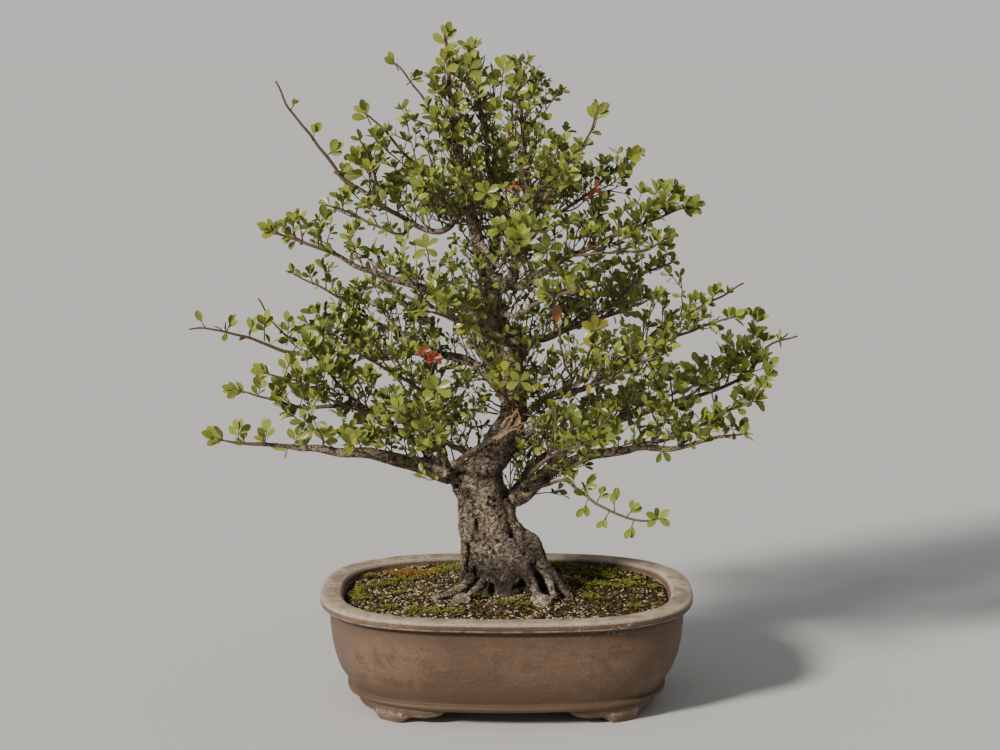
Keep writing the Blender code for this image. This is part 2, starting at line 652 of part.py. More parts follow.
def root_paths():
    """The surface roots, from inside the trunk out over the soil and down into it."""
    roots = []
    middle = seen(*ROOT_LEVEL)
    for bearing, length, radius, bends_to in ROOTS:
        path, radii = [], []
        for share, drop in ROOT_COURSE:
            angle = math.radians(bearing + (bends_to - bearing) * max(0.0, share - 0.5))
            reach = length * share
            way = Vector((math.cos(angle) * reach, math.sin(angle) * reach * ROOT_OVAL, -drop))
            path.append(middle + way * MM)
            radii.append(radius * (1.15 - ROOT_THINNING * share))
        roots.append((path, radii))
    return roots


def share_point(path, share):
    """The point at a share of the path's length, and the way that the path runs there."""
    lengths = [(b - a).length for a, b in zip(path, path[1:])]
    left = share * sum(lengths)
    for (a, b), length in zip(zip(path, path[1:]), lengths):
        if left <= length:
            return a.lerp(b, left / length), (b - a).normalized()
        left -= length
    return path[-1], (path[-1] - path[-2]).normalized()


def limb_paths():
    """Each limb's name with its path, radii and row, starting inside its parent."""
    paths = {"trunk": trunk_line()}
    limbs = {}
    for row in LIMBS:
        name, parent, share, first, last = row[:5]
        start, _ = share_point(paths[parent], share)
        path = [start] + [seen(*point) for point in row[9]]
        reach = [0.0]
        for a, b in zip(path, path[1:]):
            reach.append(reach[-1] + (b - a).length)
        radii = [first + (last - first) * (r / reach[-1]) ** TAPER for r in reach]
        paths[name] = path
        limbs[name] = (path, radii, row)
    return limbs


def wood_piece(path, radii, row):
    """The woody stretch of a limb, cut square where its shoot takes over."""
    kept = row[5]
    if kept is None:
        return path, radii
    path, radii = path[: kept + 1], radii[: kept + 1]
    way = (path[-1] - path[-2]).normalized()
    path[-1] = path[-1] - way * (GAP / 2 * MM)
    return path, radii


def build_wood(parts, limbs):
    wood = mesh_object("trunk_and_limbs", loft("trunk", trunk_rings(0, TRUNK)), parts, "bark")
    pieces = [tube("root", path, radii, LIMB_SIDES) for path, radii in root_paths()]
    for path, radii, row in limbs.values():
        kept, sizes = wood_piece(path, radii, row)
        sides = THICK_LIMB_SIDES if sizes[0] > THICK_LIMB else LIMB_SIDES
        pieces.append(tube(row[0], kept, sizes, sides if sizes[0] > THIN_LIMB else TWIG_SIDES))
    boolean(wood, pieces, "UNION")
    wood.data.shade_smooth()
    return wood


def soil_height(x, y):
    """Height of the soil's surface, in millimetres, at a place measured from the pot's centre."""
    mound = math.exp(-((x - SOIL_MOUND_AT) ** 2 + (y * SOIL_MOUND_OVAL) ** 2) / (2 * SOIL_MOUND_SPREAD**2))
    rough = noise.noise(Vector((x, y, 100)) / 34) + 0.5 * noise.noise(Vector((x, y, 100)) / 15)
    back = max(0.0, y) / RIM_HALF_WIDTH
    return SOIL_EDGE + SOIL_MOUND * mound + SOIL_RISE_BACK * back + SOIL_ROUGHNESS * rough


def soil_mesh():
    """The soil as the pot holds it, with its top raised to the mounded surface."""
    bottom = FLOOR_TOP + GAP
    top = [(radius, SOIL_EDGE) for radius in SOIL_RINGS]
    side = [(inner_wall(h) - SOIL_WALL_GAP, h) for h in (SOIL_EDGE, WALL_BEND, FLOOR_CORNER)]
    floor = [(BODY_FOOT - WALL - FLOOR_SHORT - 2 * SOIL_WALL_GAP, bottom), (0, bottom)]
    mesh = turned("soil", top + side + floor)
    for vertex in mesh.vertices:
        if abs(vertex.co.z - SOIL_EDGE * MM) < 1e-6:
            vertex.co.z = soil_height(vertex.co.x / MM, vertex.co.y / MM) * MM
    return mesh


def stone_mesh(row, extra):
    """A lumpy stone that stands out of the soil by a share of its half height, `extra` larger all round."""
    name, x, y, *half = row
    bm = bmesh.new()
    bmesh.ops.create_icosphere(bm, subdivisions=1, radius=1)
    for vertex in bm.verts:
        lump = 1 + STONE_LUMPS * noise.noise(vertex.co * 1.6 + Vector((x, y, 0)))
        vertex.co = Vector([vertex.co[i] * (half[i] * lump + extra) * MM for i in range(3)])
    height = soil_height(x, y) + STONE_OUT * half[2]
    bmesh.ops.translate(bm, verts=bm.verts, vec=pot_centre() + Vector((x, y, height)) * MM)
    return from_bmesh(name, bm)


def build_soil(parts):
    """The soil, with plain holes for the trunk, the roots, the stones and the drain screens."""
    soil = mesh_object("soil", moved(soil_mesh(), pot_centre()), parts, "soil")
    buried = TRUNK[:4]
    rings = trunk_rings(CUT_GAP, buried)
    for point in rings[0]:
        point.z -= CUT_GAP * MM
    cutters = [loft("trunk", rings)]
    for path, radii in root_paths():
        way = (path[-1] - path[-2]).normalized()
        longer = path[:-1] + [path[-1] + way * (CUT_GAP * MM)]
        cutters.append(tube("root", longer, [radius + CUT_GAP for radius in radii], LIMB_SIDES))
    cutters += [stone_mesh(row, CUT_GAP) for row in STONES]
    for place in drain_places():
        side = SCREEN_SIDE + 2 * GAP
        depth = 2 * (SCREEN_THICKNESS + GAP)
        low = FLOOR_TOP + GAP
        cutters.append(box(Vector((side, side, depth)) * MM, place + Vector((0, 0, low * MM))))
    boolean(soil, cutters, "DIFFERENCE")


def build_stones(parts):
    for row in STONES:
        mesh_object(row[0], stone_mesh(row, 0), parts, "stone")


def sideways(way, turn):
    """A way square to `way`: the level one, turned round it."""
    side = way.cross(Vector((0, 0, 1)))
    if side.length < 1e-3:
        side = Vector((1, 0, 0))
    side.normalize()
    side.rotate(Matrix.Rotation(turn, 3, way))
    return side


def leaf_mesh(base, way, up, length, width):
    """An obovate blade: a flat cone with its rim pressed to the leaf's outline and its point as the keel."""
    side = way.cross(up).normalized()
    up = side.cross(way).normalized()
    bm = bmesh.new()
    bmesh.ops.create_cone(bm, cap_ends=True, segments=len(LEAF_RIM), radius1=1, radius2=0, depth=1)
    rim = sorted((v for v in bm.verts if v.co.z < 0), key=lambda v: math.atan2(v.co.x, -v.co.y))
    for vertex, (along, across) in zip(rim, LEAF_RIM):
        vertex.co = base + (way * along * length + side * across * width) * MM
    for vertex in bm.verts:
        if vertex not in rim:
            vertex.co = base + (way * LEAF_KEEL_AT * length - up * LEAF_KEEL) * MM
    return from_bmesh("leaf", bm)


def outward(point):
    """The level way from the trunk's axis out to a point."""
    axis = seen(*CROWN_AXIS)
    way = Vector((point.x - axis.x, point.y - axis.y, 0))
    return way.normalized() if way.length > 1e-6 else Vector((0, -1, 0))


class Room:
    """The meshes that already have their place, each tested with a search tree."""

    def __init__(self):
        self.trees = []

    def add(self, mesh):
        self.trees.append(tree_of(mesh))

    def takes(self, mesh, room):
        """Whether the mesh stays `room` millimetres away from all that is placed."""
        tree = tree_of(mesh)
        points = [vertex.co for vertex in mesh.vertices] + [face.center for face in mesh.polygons]
        for other in self.trees:
            if other.overlap(tree):
                return False
            for point in points if room else ():
                if other.find_nearest(point, room * MM)[0] is not None:
                    return False
        return True


def tree_of(mesh):
    return BVHTree.FromPolygons(
        [vertex.co.copy() for vertex in mesh.vertices], [tuple(face.vertices) for face in mesh.polygons]
    )


def spread_share(first, over, i, count):
    """The place of one of `count` even steps over a stretch of a path, as a share of the path."""
    return first + over * (i + 0.5) / count


def side_twigs(path, radii, count, dice, room):
    """Short twigs off the shoot, left and right in turn, that keep clear of all that is placed."""
    twigs = []
    for i in range(count):
        start, way = share_point(path, spread_share(TWIGS_FROM, TWIGS_OVER, i, count))
        for attempt in range(LEAF_TRIES):
            side = sideways(way, dice.uniform(-TWIG_SWING, TWIG_SWING) + math.pi * (i % 2))
            out = (side * TWIG_OUT + way * TWIG_ALONG + UPWARD).normalized()
            length = dice.uniform(*TWIG_LENGTHS) * (1 - TWIG_CUT * attempt) * MM
            line = (start, start + out * length)
            mesh = cone("twig", *line, max(TWIG_FOOT, radii[0] / 2) * MM, TWIG_END * MM)
            if room.takes(mesh, LEAF_ROOM):
                twigs.append((line, mesh))
                break
            bpy.data.meshes.remove(mesh)
    return twigs


def spray_leaves(lines, row, dice, room):
    """The blades: one at each twig's end and the rest along the twigs, turning round them."""
    length, count = row[6], row[7]
    reach = [sum((b - a).length for a, b in zip(line, line[1:])) for line in lines]
    sites = [(line, 1.0) for line in lines]
    left = max(0, count - len(sites))
    for line, size in zip(lines, reach):
        share = round(left * size / sum(reach))
        sites += [(line, spread_share(LEAVES_FROM, LEAVES_OVER, k, share)) for k in range(share)]
    meshes = []
    own = Room()
    turn = dice.uniform(0, math.tau)
    for line, place in sites:
        base, way = share_point(line, place)
        base = base - way * (LEAF_SINK * MM)
        for attempt in range(LEAF_TRIES):
            turn += LEAF_TURN
            side = sideways(way, turn)
            lean = LEAN_AT_TIP if place == 1.0 else LEAN_ALONG
            out = (way * lean + side * LEAN_OUT + UPWARD).normalized()
            facing = (outward(base) * FACE_OUT + Vector((0, 0, FACE_UP)) + side * FACE_ASIDE).normalized()
            size = length * dice.uniform(*LEAF_SPREAD)
            mesh = leaf_mesh(base, out, facing, size, size * LEAF_WIDTH_SHARE)
            if room.takes(mesh, LEAF_ROOM) and own.takes(mesh, 0):
                meshes.append(mesh)
                own.add(mesh)
                break
            bpy.data.meshes.remove(mesh)
    return meshes


def build_sprays(parts, limbs, wood):
    """The leafy shoots, each fused with its side twigs and blades, clear of all that is built before it."""
    room = Room()
    room.add(wood.data)
    for number, (name, (path, radii, row)) in enumerate(limbs.items()):
        kept = row[5]
        if kept is None:
            continue
        dice = random.Random(100 + number)
        way = (path[kept] - path[kept - 1]).normalized()
        first = path[kept] + way * (GAP / 2 * MM)
        line = [first, first + way * (4 * MM)] + path[kept + 1 :]
        sizes = [radii[kept], radii[kept] * 0.97] + radii[kept + 1 :]
        shoot = tube(name, line, sizes, TWIG_SIDES)
        beyond = moved(shoot.copy(), way * (LEAF_ROOM * MM))
        if not room.takes(beyond, SHOOT_ROOM):
            raise ValueError(name + ": the shoot meets its neighbours")
        bpy.data.meshes.remove(beyond)
        twigs = side_twigs(line[1:], sizes, row[8], dice, room)
        lines = [line[1:]] + [path for path, _ in twigs]
        leaves = spray_leaves(lines, row, dice, room)
        spray = mesh_object("spray_" + name, shoot, parts, "leaf")
        boolean(spray, [mesh for _, mesh in twigs] + leaves, "UNION")
        room.add(spray.data)


def main():
    clear_scene()
    parts = new_collection("barberry bonsai")
    limbs = limb_paths()
    build_pot(parts)
    build_screens(parts)
    build_soil(parts)
    build_stones(parts)
    wood = build_wood(parts, limbs)
    build_sprays(parts, limbs, wood)


main()
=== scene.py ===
"""Dresses the Japanese barberry bonsai in its pot: fired clay, soil, moss, bark, twigs and leaves.

The CAD frame is loaded first and is never moved. The trunk and limbs follow the same courses as the part's
source: millimetres across and up as seen from in front, set back along the line of sight. Finer wood, twigs
and leaves grow along them by rule.
"""

import json
import math
import random
from collections import namedtuple

import bmesh
import bpy
import numpy as np
from bpy.props import FloatProperty, FloatVectorProperty, IntProperty, PointerProperty
from mathutils import Matrix, Vector, noise

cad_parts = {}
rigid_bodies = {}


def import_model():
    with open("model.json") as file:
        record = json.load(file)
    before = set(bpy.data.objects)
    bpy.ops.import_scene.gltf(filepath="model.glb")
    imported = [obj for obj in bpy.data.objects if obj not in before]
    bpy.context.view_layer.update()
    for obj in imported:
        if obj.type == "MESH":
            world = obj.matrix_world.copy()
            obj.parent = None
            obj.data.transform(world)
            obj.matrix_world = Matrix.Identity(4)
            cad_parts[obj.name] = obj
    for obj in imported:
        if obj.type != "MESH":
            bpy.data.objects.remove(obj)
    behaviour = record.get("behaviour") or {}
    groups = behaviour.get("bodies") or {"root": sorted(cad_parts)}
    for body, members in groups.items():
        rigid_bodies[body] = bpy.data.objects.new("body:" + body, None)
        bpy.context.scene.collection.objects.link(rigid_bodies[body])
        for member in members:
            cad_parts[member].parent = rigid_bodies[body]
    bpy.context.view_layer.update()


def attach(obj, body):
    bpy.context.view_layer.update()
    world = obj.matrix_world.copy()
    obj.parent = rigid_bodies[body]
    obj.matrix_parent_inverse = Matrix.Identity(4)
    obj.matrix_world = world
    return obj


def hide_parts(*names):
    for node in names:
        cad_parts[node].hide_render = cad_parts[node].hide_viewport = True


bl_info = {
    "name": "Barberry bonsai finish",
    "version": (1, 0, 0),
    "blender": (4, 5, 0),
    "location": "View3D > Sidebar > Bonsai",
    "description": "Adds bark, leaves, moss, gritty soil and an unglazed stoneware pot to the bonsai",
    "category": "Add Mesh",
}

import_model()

MM = 0.001
UP = Vector((0, 0, 1))
FRONT = Vector((0.0, -1.0, 0.0))
# Where drift() reads its three numbers, each apart from the others
DRIFT_APART = (Vector((9.3, -1.5, -8.0)), Vector((0.0, 0.0, 0.0)), Vector((6.3, 0.2, -2.7)))
# The turn from one leaf or twig to the next, in radians
GOLDEN = 2.4
# The first seed of the random draws for each kind of growth, and the seeds for what lies on the soil
LIMB_SEED = 100
SHOOT_SEED = 200
ACCENT_SEED = 300
ROSETTE_SEED = 400
SPRIG_SEED = 500
GRAIN_SEED = 11
MOSS_SEED = 23
LITTER_SEED = 31
# The crown's outline, in metres: half width, the height where it would end in a point, and its taper
CROWN_HALF_WIDTH = 0.25
CROWN_PEAK = 0.66
CROWN_TAPER = 0.28
# Leaves longer than this, in metres, get the fine outline
FINE_LEAF = 0.0105
# The share of the crown's width within which twigs stand closer and bear fewer leaves
INNER_CROWN = 0.5
# The outer stretch of a limb, in metres, where leaves grow on the limb itself
OUTER_STRETCH = 0.075
# What an upper side of a leaf is turned to: up, away from the trunk, along its twig, the front, and anywhere
FACE_UP = 0.62
FACE_OUT = 0.38
FACE_ALONG = 0.25
FACE_FRONT = 0.25
FACE_STRAY = 0.72
# Twigs, in millimetres: a straight stretch, the radius at foot and tip, and the length that bears side twigs
TWIG_STRETCH = 7.0
TWIG_RADIUS = 0.8
TWIG_TIP = 0.36
FORKING_LENGTH = 14.0

# The eye that the tree is laid out from, and the middle of the whole object on that plane
EYE_DISTANCE = 2000.0
EYE_PITCH = math.radians(8.7)
EYE_HEIGHT_AIM = 297.0
MIDDLE_ACROSS = -6.0
MIDDLE_BACK = 3.0
LENS = 80.0
FILM_WIDTH = 36

# Pot, in millimetres from its own centre line, as in the part's source
POT_CENTRE = Vector((12, -3, 0)) * MM
RIM_HALF_LENGTH = 169.0
RIM_HALF_WIDTH = 134.0
RIM_HEIGHT = 102.3
LIP_WIDTH = 20.0
LIP_THICKNESS = 9.5
BODY_TOP = 160.3
BODY_WAIST = 151.6
BODY_FOOT = 142.0
BELT_TOP = 21.6
BELT_BULGE = 2.0
UNDERSIDE = 14.5
FLOOR_TOP = 22.0
WALL = 11.5
PLAN_POWER = 2.8
PLAN_BLEND = 100.0
INNER_CURVE = 0.7
FLOOR_SHORT = 10.0
FLOOR_CORNER = FLOOR_TOP + 6
WALL_BEND = 60.0
PLAN_STEPS = 144

# Each foot from one scroll end to the other: the way it lies from the pot's middle, in degrees, and how
# high its sole is. It stands on the pad under the corner, with a raised wing on either side.
FOOT_COURSE = (
    (14, 11), (15, 9), (17, 7.4), (21, 6.4), (34, 6.4), (37, 5), (39.2, 1.2), (41, 0), (53, 0), (54.8, 1.2),
    (57, 5), (60, 6.4), (66, 6.4), (69.5, 7.4), (71.5, 9), (72.5, 11),
)
FOOT_DEPTH = 24.0
FOOT_INSET = 2.6
FOOT_STATIONS = 48

# How wide the pot's edges are rounded, and the angles in degrees from which an edge is rounded or stays sharp
POT_ROUNDING = 0.9
POT_ROUNDED_FROM = 24
POT_SHARP_FROM = 40

# Drain holes and the nets over them
DRAIN_RADIUS = 11.0
DRAIN_OFFSET = 62.0
DRAIN_SIDES = 48
SCREEN_SIDE = 34.0
SCREEN_CELLS = 11
SCREEN_BASE = FLOOR_TOP + 0.9
SCREEN_WIRE = 0.9

# Soil: its height at the pot's wall, the mound round the trunk, its roughness and its rise to the back
SOIL_EDGE = 92.0
SOIL_MOUND = 12.0
SOIL_MOUND_AT = 4.0
SOIL_MOUND_SPREAD = 66.0
SOIL_MOUND_OVAL = 1.15
SOIL_ROUGHNESS = 2.2
SOIL_RISE_BACK = 3.5
SOIL_WALL_GAP = 0.5
SOIL_BOTTOM = FLOOR_TOP + 2.4
SOIL_RINGS = 56
SOIL_STEPS = 120
# Half sizes of the trunk's foot, which bears no grit or moss
TRUNK_FOOT_LENGTH = 38
TRUNK_FOOT_WIDTH = 32

# How quickly a limb thins, and the radius below which it is drawn as a twig
TAPER = 0.65
THICK = 2.0
# Lines, in millimetres: how far apart their points lie, how far they stray, and how far apart the bends lie
LIMB_STEP = 5
LIMB_SWAY = 1.6
LIMB_BEND = 17
STRAND_STEP = 4
STRAND_SWAY = 1.2
STRAND_BEND = 15
STUB_STEP = 1.2
SPLINTER_STEP = 1.5
SPLINTER_SWAY = 0.8
SPLINTER_TIP = 0.25
SHOOT_STEP = 4
SHOOT_SWAY = 1.5
SHOOT_BEND = 9

# Trunk sections: across, up, back, half width, half depth
TRUNK = (
    (10, 62, 4, 40, 34),
    (10, 92, 4, 42, 36),
    (10.5, 106, 4, 42, 36),
    (9, 121, 4, 38.5, 33),
    (4, 137, 4, 33.5, 31),
    (0, 149, 4, 31, 28),
    (-7, 160, 4, 25, 25),
    (-9, 170, 5, 22.5, 23),
    (-12, 184, 6, 24.0, 24),
    (-19, 198, 8, 24, 23.5),
    (-17, 212, 8, 19.5, 20),
    (-7, 227, 8, 16, 17),
    (4, 243, 6, 14, 14),
)
TRUNK_SIDES = 56
TRUNK_STEP = 4.0
# Ridges on the trunk: how high they are, how many lie side by side, and how far up each one runs
TRUNK_RIDGES = ((2.0, 1.7, 16), (1.6, 4.5, 40))
BARK_TRIANGLES = 186000
# Sizes of what breaks up the bark, in millimetres, and where its pits are read
KNOB_SIZE = 12
WRINKLE_LENGTH = 7
WRINKLE_HEIGHT = 3.4
FLAKE_SIZE = 4.4
CRUMB_SIZE = 2.6
PIT_SIZE = 5
PITS_APART = Vector((40, 0, 0))
GOUGE_HALF_DEPTH = 12

# Roots: bearing round the trunk in degrees, length, first radius, and the bearing that it bends to.
# Each one's course is a share of its length and how far it lies below the middle of the trunk's foot.
ROOTS = (
    (186, 62, 9, 205),
    (222, 54, 10, 236),
    (262, 52, 11, 255),
    (296, 56, 12, 304),
    (332, 60, 11, 322),
    (8, 58, 10, 16),
    (58, 54, 11, 50),
    (118, 56, 11, 128),
)
ROOT_COURSE = ((0.3, -12), (0.66, -1), (0.98, 6), (1.25, 19))
ROOT_OVAL = 0.88
ROOT_FLARE = 1.15
ROOT_THINNING = 0.62
ROOT_LEVEL = TRUNK[2][:3]

# Strands that stand out of the trunk: first and last radius, and the points (across, up, back)
STRANDS = (
    (6.0, 4.0, ((-33, 198, -8), (-25, 178, -12), (-23, 156, -12), (-25, 134, -14), (-29, 112, -18))),
    (11.0, 15.0, (
        (-14, 204, -12), (-8, 180, -14), (-2, 156, -16), (6, 134, -20), (8, 112, -24), (8, 92, -27))),
    (5.0, 10.0, (
        (2, 186, -12), (8, 170, -12), (17, 156, -14), (29, 145, -16), (34, 126, -16), (38, 108, -18))),
    (9.0, 3.4, ((33, 130, -18), (43, 119, -24), (51, 109, -28), (58, 102, -31), (66, 95, -34))),
    (8.0, 3.0, ((18, 128, -28), (26, 116, -36), (31, 106, -41), (36, 97, -46))),
    (5.0, 2.4, ((42, 119, -26), (45, 109, -36), (47, 100, -43), (50, 94, -48))),
    (3.2, 2.2, ((-30, 148, -16), (-33, 132, -20), (-33, 116, -23), (-36, 107, -26), (-44, 102, -30))),
    (5.0, 2.4, ((-24, 117, -26), (-32, 107, -33), (-44, 101, -38), (-58, 96, -41))),
    (5.0, 2.0, ((-14, 112, -34), (-20, 104, -42), (-30, 98, -50))),
    (5.5, 2.2, ((40, 124, 8), (52, 112, 12), (66, 103, 14), (80, 97, 14))),
    (8.0, 6.0, ((-30, 192, 12), (-30, 160, 16), (-28, 126, 22), (-34, 104, 30))),
    (9.0, 8.0, ((-6, 200, 22), (4, 164, 24), (12, 128, 32), (16, 104, 38))),
    (7.0, 4.0, ((14, 256, -8), (15, 248, -14), (8, 240, -14), (2, 230, -10))),
)
# Gouges in the trunk's front: place (across, up, back), half width, half height and depth
GOUGES = (
    (-21, 160, -18, 1.6, 8.0, 2.6),
    (-25, 151, -16, 1.6, 4.0, 2.0),
    (-2, 148, -26, 3.4, 2.6, 2.6),
    (-6, 139, -28, 2.4, 3.0, 2.0),
    (14, 149, -24, 1.6, 2.6, 1.8),
    (22, 137, -28, 3.0, 1.8, 1.8),
    (-24, 182, -12, 1.4, 4.0, 1.8),
    (-14, 175, -15, 1.1, 6.0, 1.6),
    (-5, 164, -19, 11.0, 1.0, 1.6),
    (2, 205, -14, 1.2, 6.0, 1.8),
    (-3, 120, -36, 5.0, 1.6, 1.6),
    (19, 105, -42, 8.0, 4.0, 3.0),
    (2, 108, -41, 4.0, 3.0, 2.2),
    (27, 111, -36, 2.6, 6.0, 2.6),
    (-16, 127, -32, 1.8, 5.0, 2.0),
)
# The burl on the trunk's front, above the roots: its middle, and its half width, depth and height
BURL = ((8, 134, -9), (33, 27, 26))
# The broken stub's free stretch in front of the fork: first and last radius, and its points
STUB = (2.2, 2.5, (
    (18, 252, -14), (11, 249, -24), (-8, 238, -31), (-24, 229, -34), (-36, 221, -36), (-43, 216, -35)))

# Strips of torn wood at the stub's root: first radius and points (across, up, back)
SPLINTERS = (
    (2.1, ((-3, 239, -31), (5, 244, -31), (13, 248, -29), (23, 246, -27))),
    (2.4, ((4, 246, -19), (9, 253, -18), (12, 262, -15), (11, 268, -13))),
    (1.8, ((10, 248, -22), (18, 253, -21), (25, 252, -20), (28, 248, -20))),
    (1.7, ((15, 246, -21), (21, 241, -21), (23, 236, -20))),
    (2.4, ((2, 250, -15), (6, 257, -16), (14, 261, -15), (19, 260, -13))),
    (2.2, ((17, 250, -16), (18, 259, -15), (14, 267, -13))),
    (1.4, ((7, 243, -25), (12, 247, -27), (18, 250, -27), (23, 255, -24))),
    (1.6, ((13, 262, -14), (16, 268, -13), (12, 273, -12))),
)

# Places with a colour of their own (across, up, back): the trunk's green knee and dry root, the wound at the
# fork, the sawn limb and the chip in the pot's foot; and the painted shade at the trunk's foot and in the
# fork
KNEE = (32, 158, -4)
SHADED_FOOT = (8, 112, 0)
DRY_ROOT = (42, 103, -46)
SHADED_NOOK = (14, 226, -16)
WOUND = (11, 255, -17)
SAWN_END = (54, 269, -31)
FOOT_CHIP = (139, 22, -92)
# The crown's axis, at half height
CROWN_AXIS = (0, 300, 0)

# Small leafy shoots on the trunk and leader: group, leaf length, and points (across, up, back)
SMALL_SHOOTS = (
    ("front_low", 11.0, ((2, 268, -10), (-10, 274, -24), (-22, 282, -36), (-30, 292, -44))),
    ("front_low", 9.0, ((-2, 262, -8), (-16, 264, -20), (-28, 262, -30))),
    ("front_low", 8.0, ((-26, 226, -4), (-32, 242, -14), (-30, 256, -20), (-36, 268, -22))),
    ("front_low", 8.0, ((-20, 228, 0), (-20, 246, -8), (-24, 262, -12), (-18, 276, -14))),
    ("front_low", 11.0, ((6, 274, -8), (2, 280, -24), (-3, 286, -38))),
    ("front_low", 12.0, ((12, 276, -8), (20, 282, -26), (28, 290, -40), (38, 296, -48))),
    ("front_low", 11.0, ((18, 262, -8), (32, 260, -24), (45, 258, -38), (54, 262, -46))),
    ("right_low", 12.0, ((40, 208, -20), (56, 222, -36), (70, 236, -48), (80, 244, -54))),
    ("right_low", 11.0, ((48, 212, -18), (62, 212, -34), (76, 216, -46))),
    ("right_low", 9.0, ((14, 232, -8), (22, 228, -18), (20, 218, -26))),
    ("left_low", 12.0, ((-52, 232, 0), (-58, 262, -24), (-60, 278, -40), (-60, 288, -48))),
    ("left_low", 9.0, ((-40, 214, 0), (-44, 236, -8), (-40, 256, -10), (-46, 274, -12))),
    ("left_mid", 9.0, ((-20, 303, 14), (-28, 292, 4), (-38, 286, -6))),
    ("left_mid", 9.0, ((-30, 307, 20), (-36, 292, 22), (-44, 278, 22), (-40, 264, 24))),
    ("back_low", 9.0, ((2, 262, 16), (-12, 270, 34), (-26, 276, 46), (-34, 286, 54))),
    ("back_low", 9.0, ((0, 250, 18), (-14, 252, 34), (-28, 250, 48), (-40, 256, 60))),
    ("back_low", 9.0, ((8, 300, 18), (-8, 300, 30), (-24, 296, 40), (-36, 300, 50))),
    ("back_low", 9.0, ((14, 270, 18), (28, 278, 30), (44, 276, 40), (58, 284, 46))),
    ("right_mid", 9.0, ((14, 300, -4), (26, 306, 4), (38, 304, 12), (48, 312, 16))),
    ("front_low", 9.0, ((10, 322, -6), (0, 326, -20), (-12, 330, -30), (-22, 326, -38))),
)

# Stones, half sunk in the soil: name, place across and back from the pot's centre, and half sizes
STONES = (
    ("stone_left", -60, -36, 8.0, 5.5, 5.0),
    ("stone_middle", -39, -48, 9.0, 6.5, 5.5),
    ("stone_right", 31, -54, 9.5, 7.0, 7.5),
)
# How far a stone's middle lies above the soil, as a share of its half height, and its flat sides
STONE_OUT = 0.3
STONE_SIDES = 9

Limb = namedtuple("Limb", "name parent share first last group leaf points")
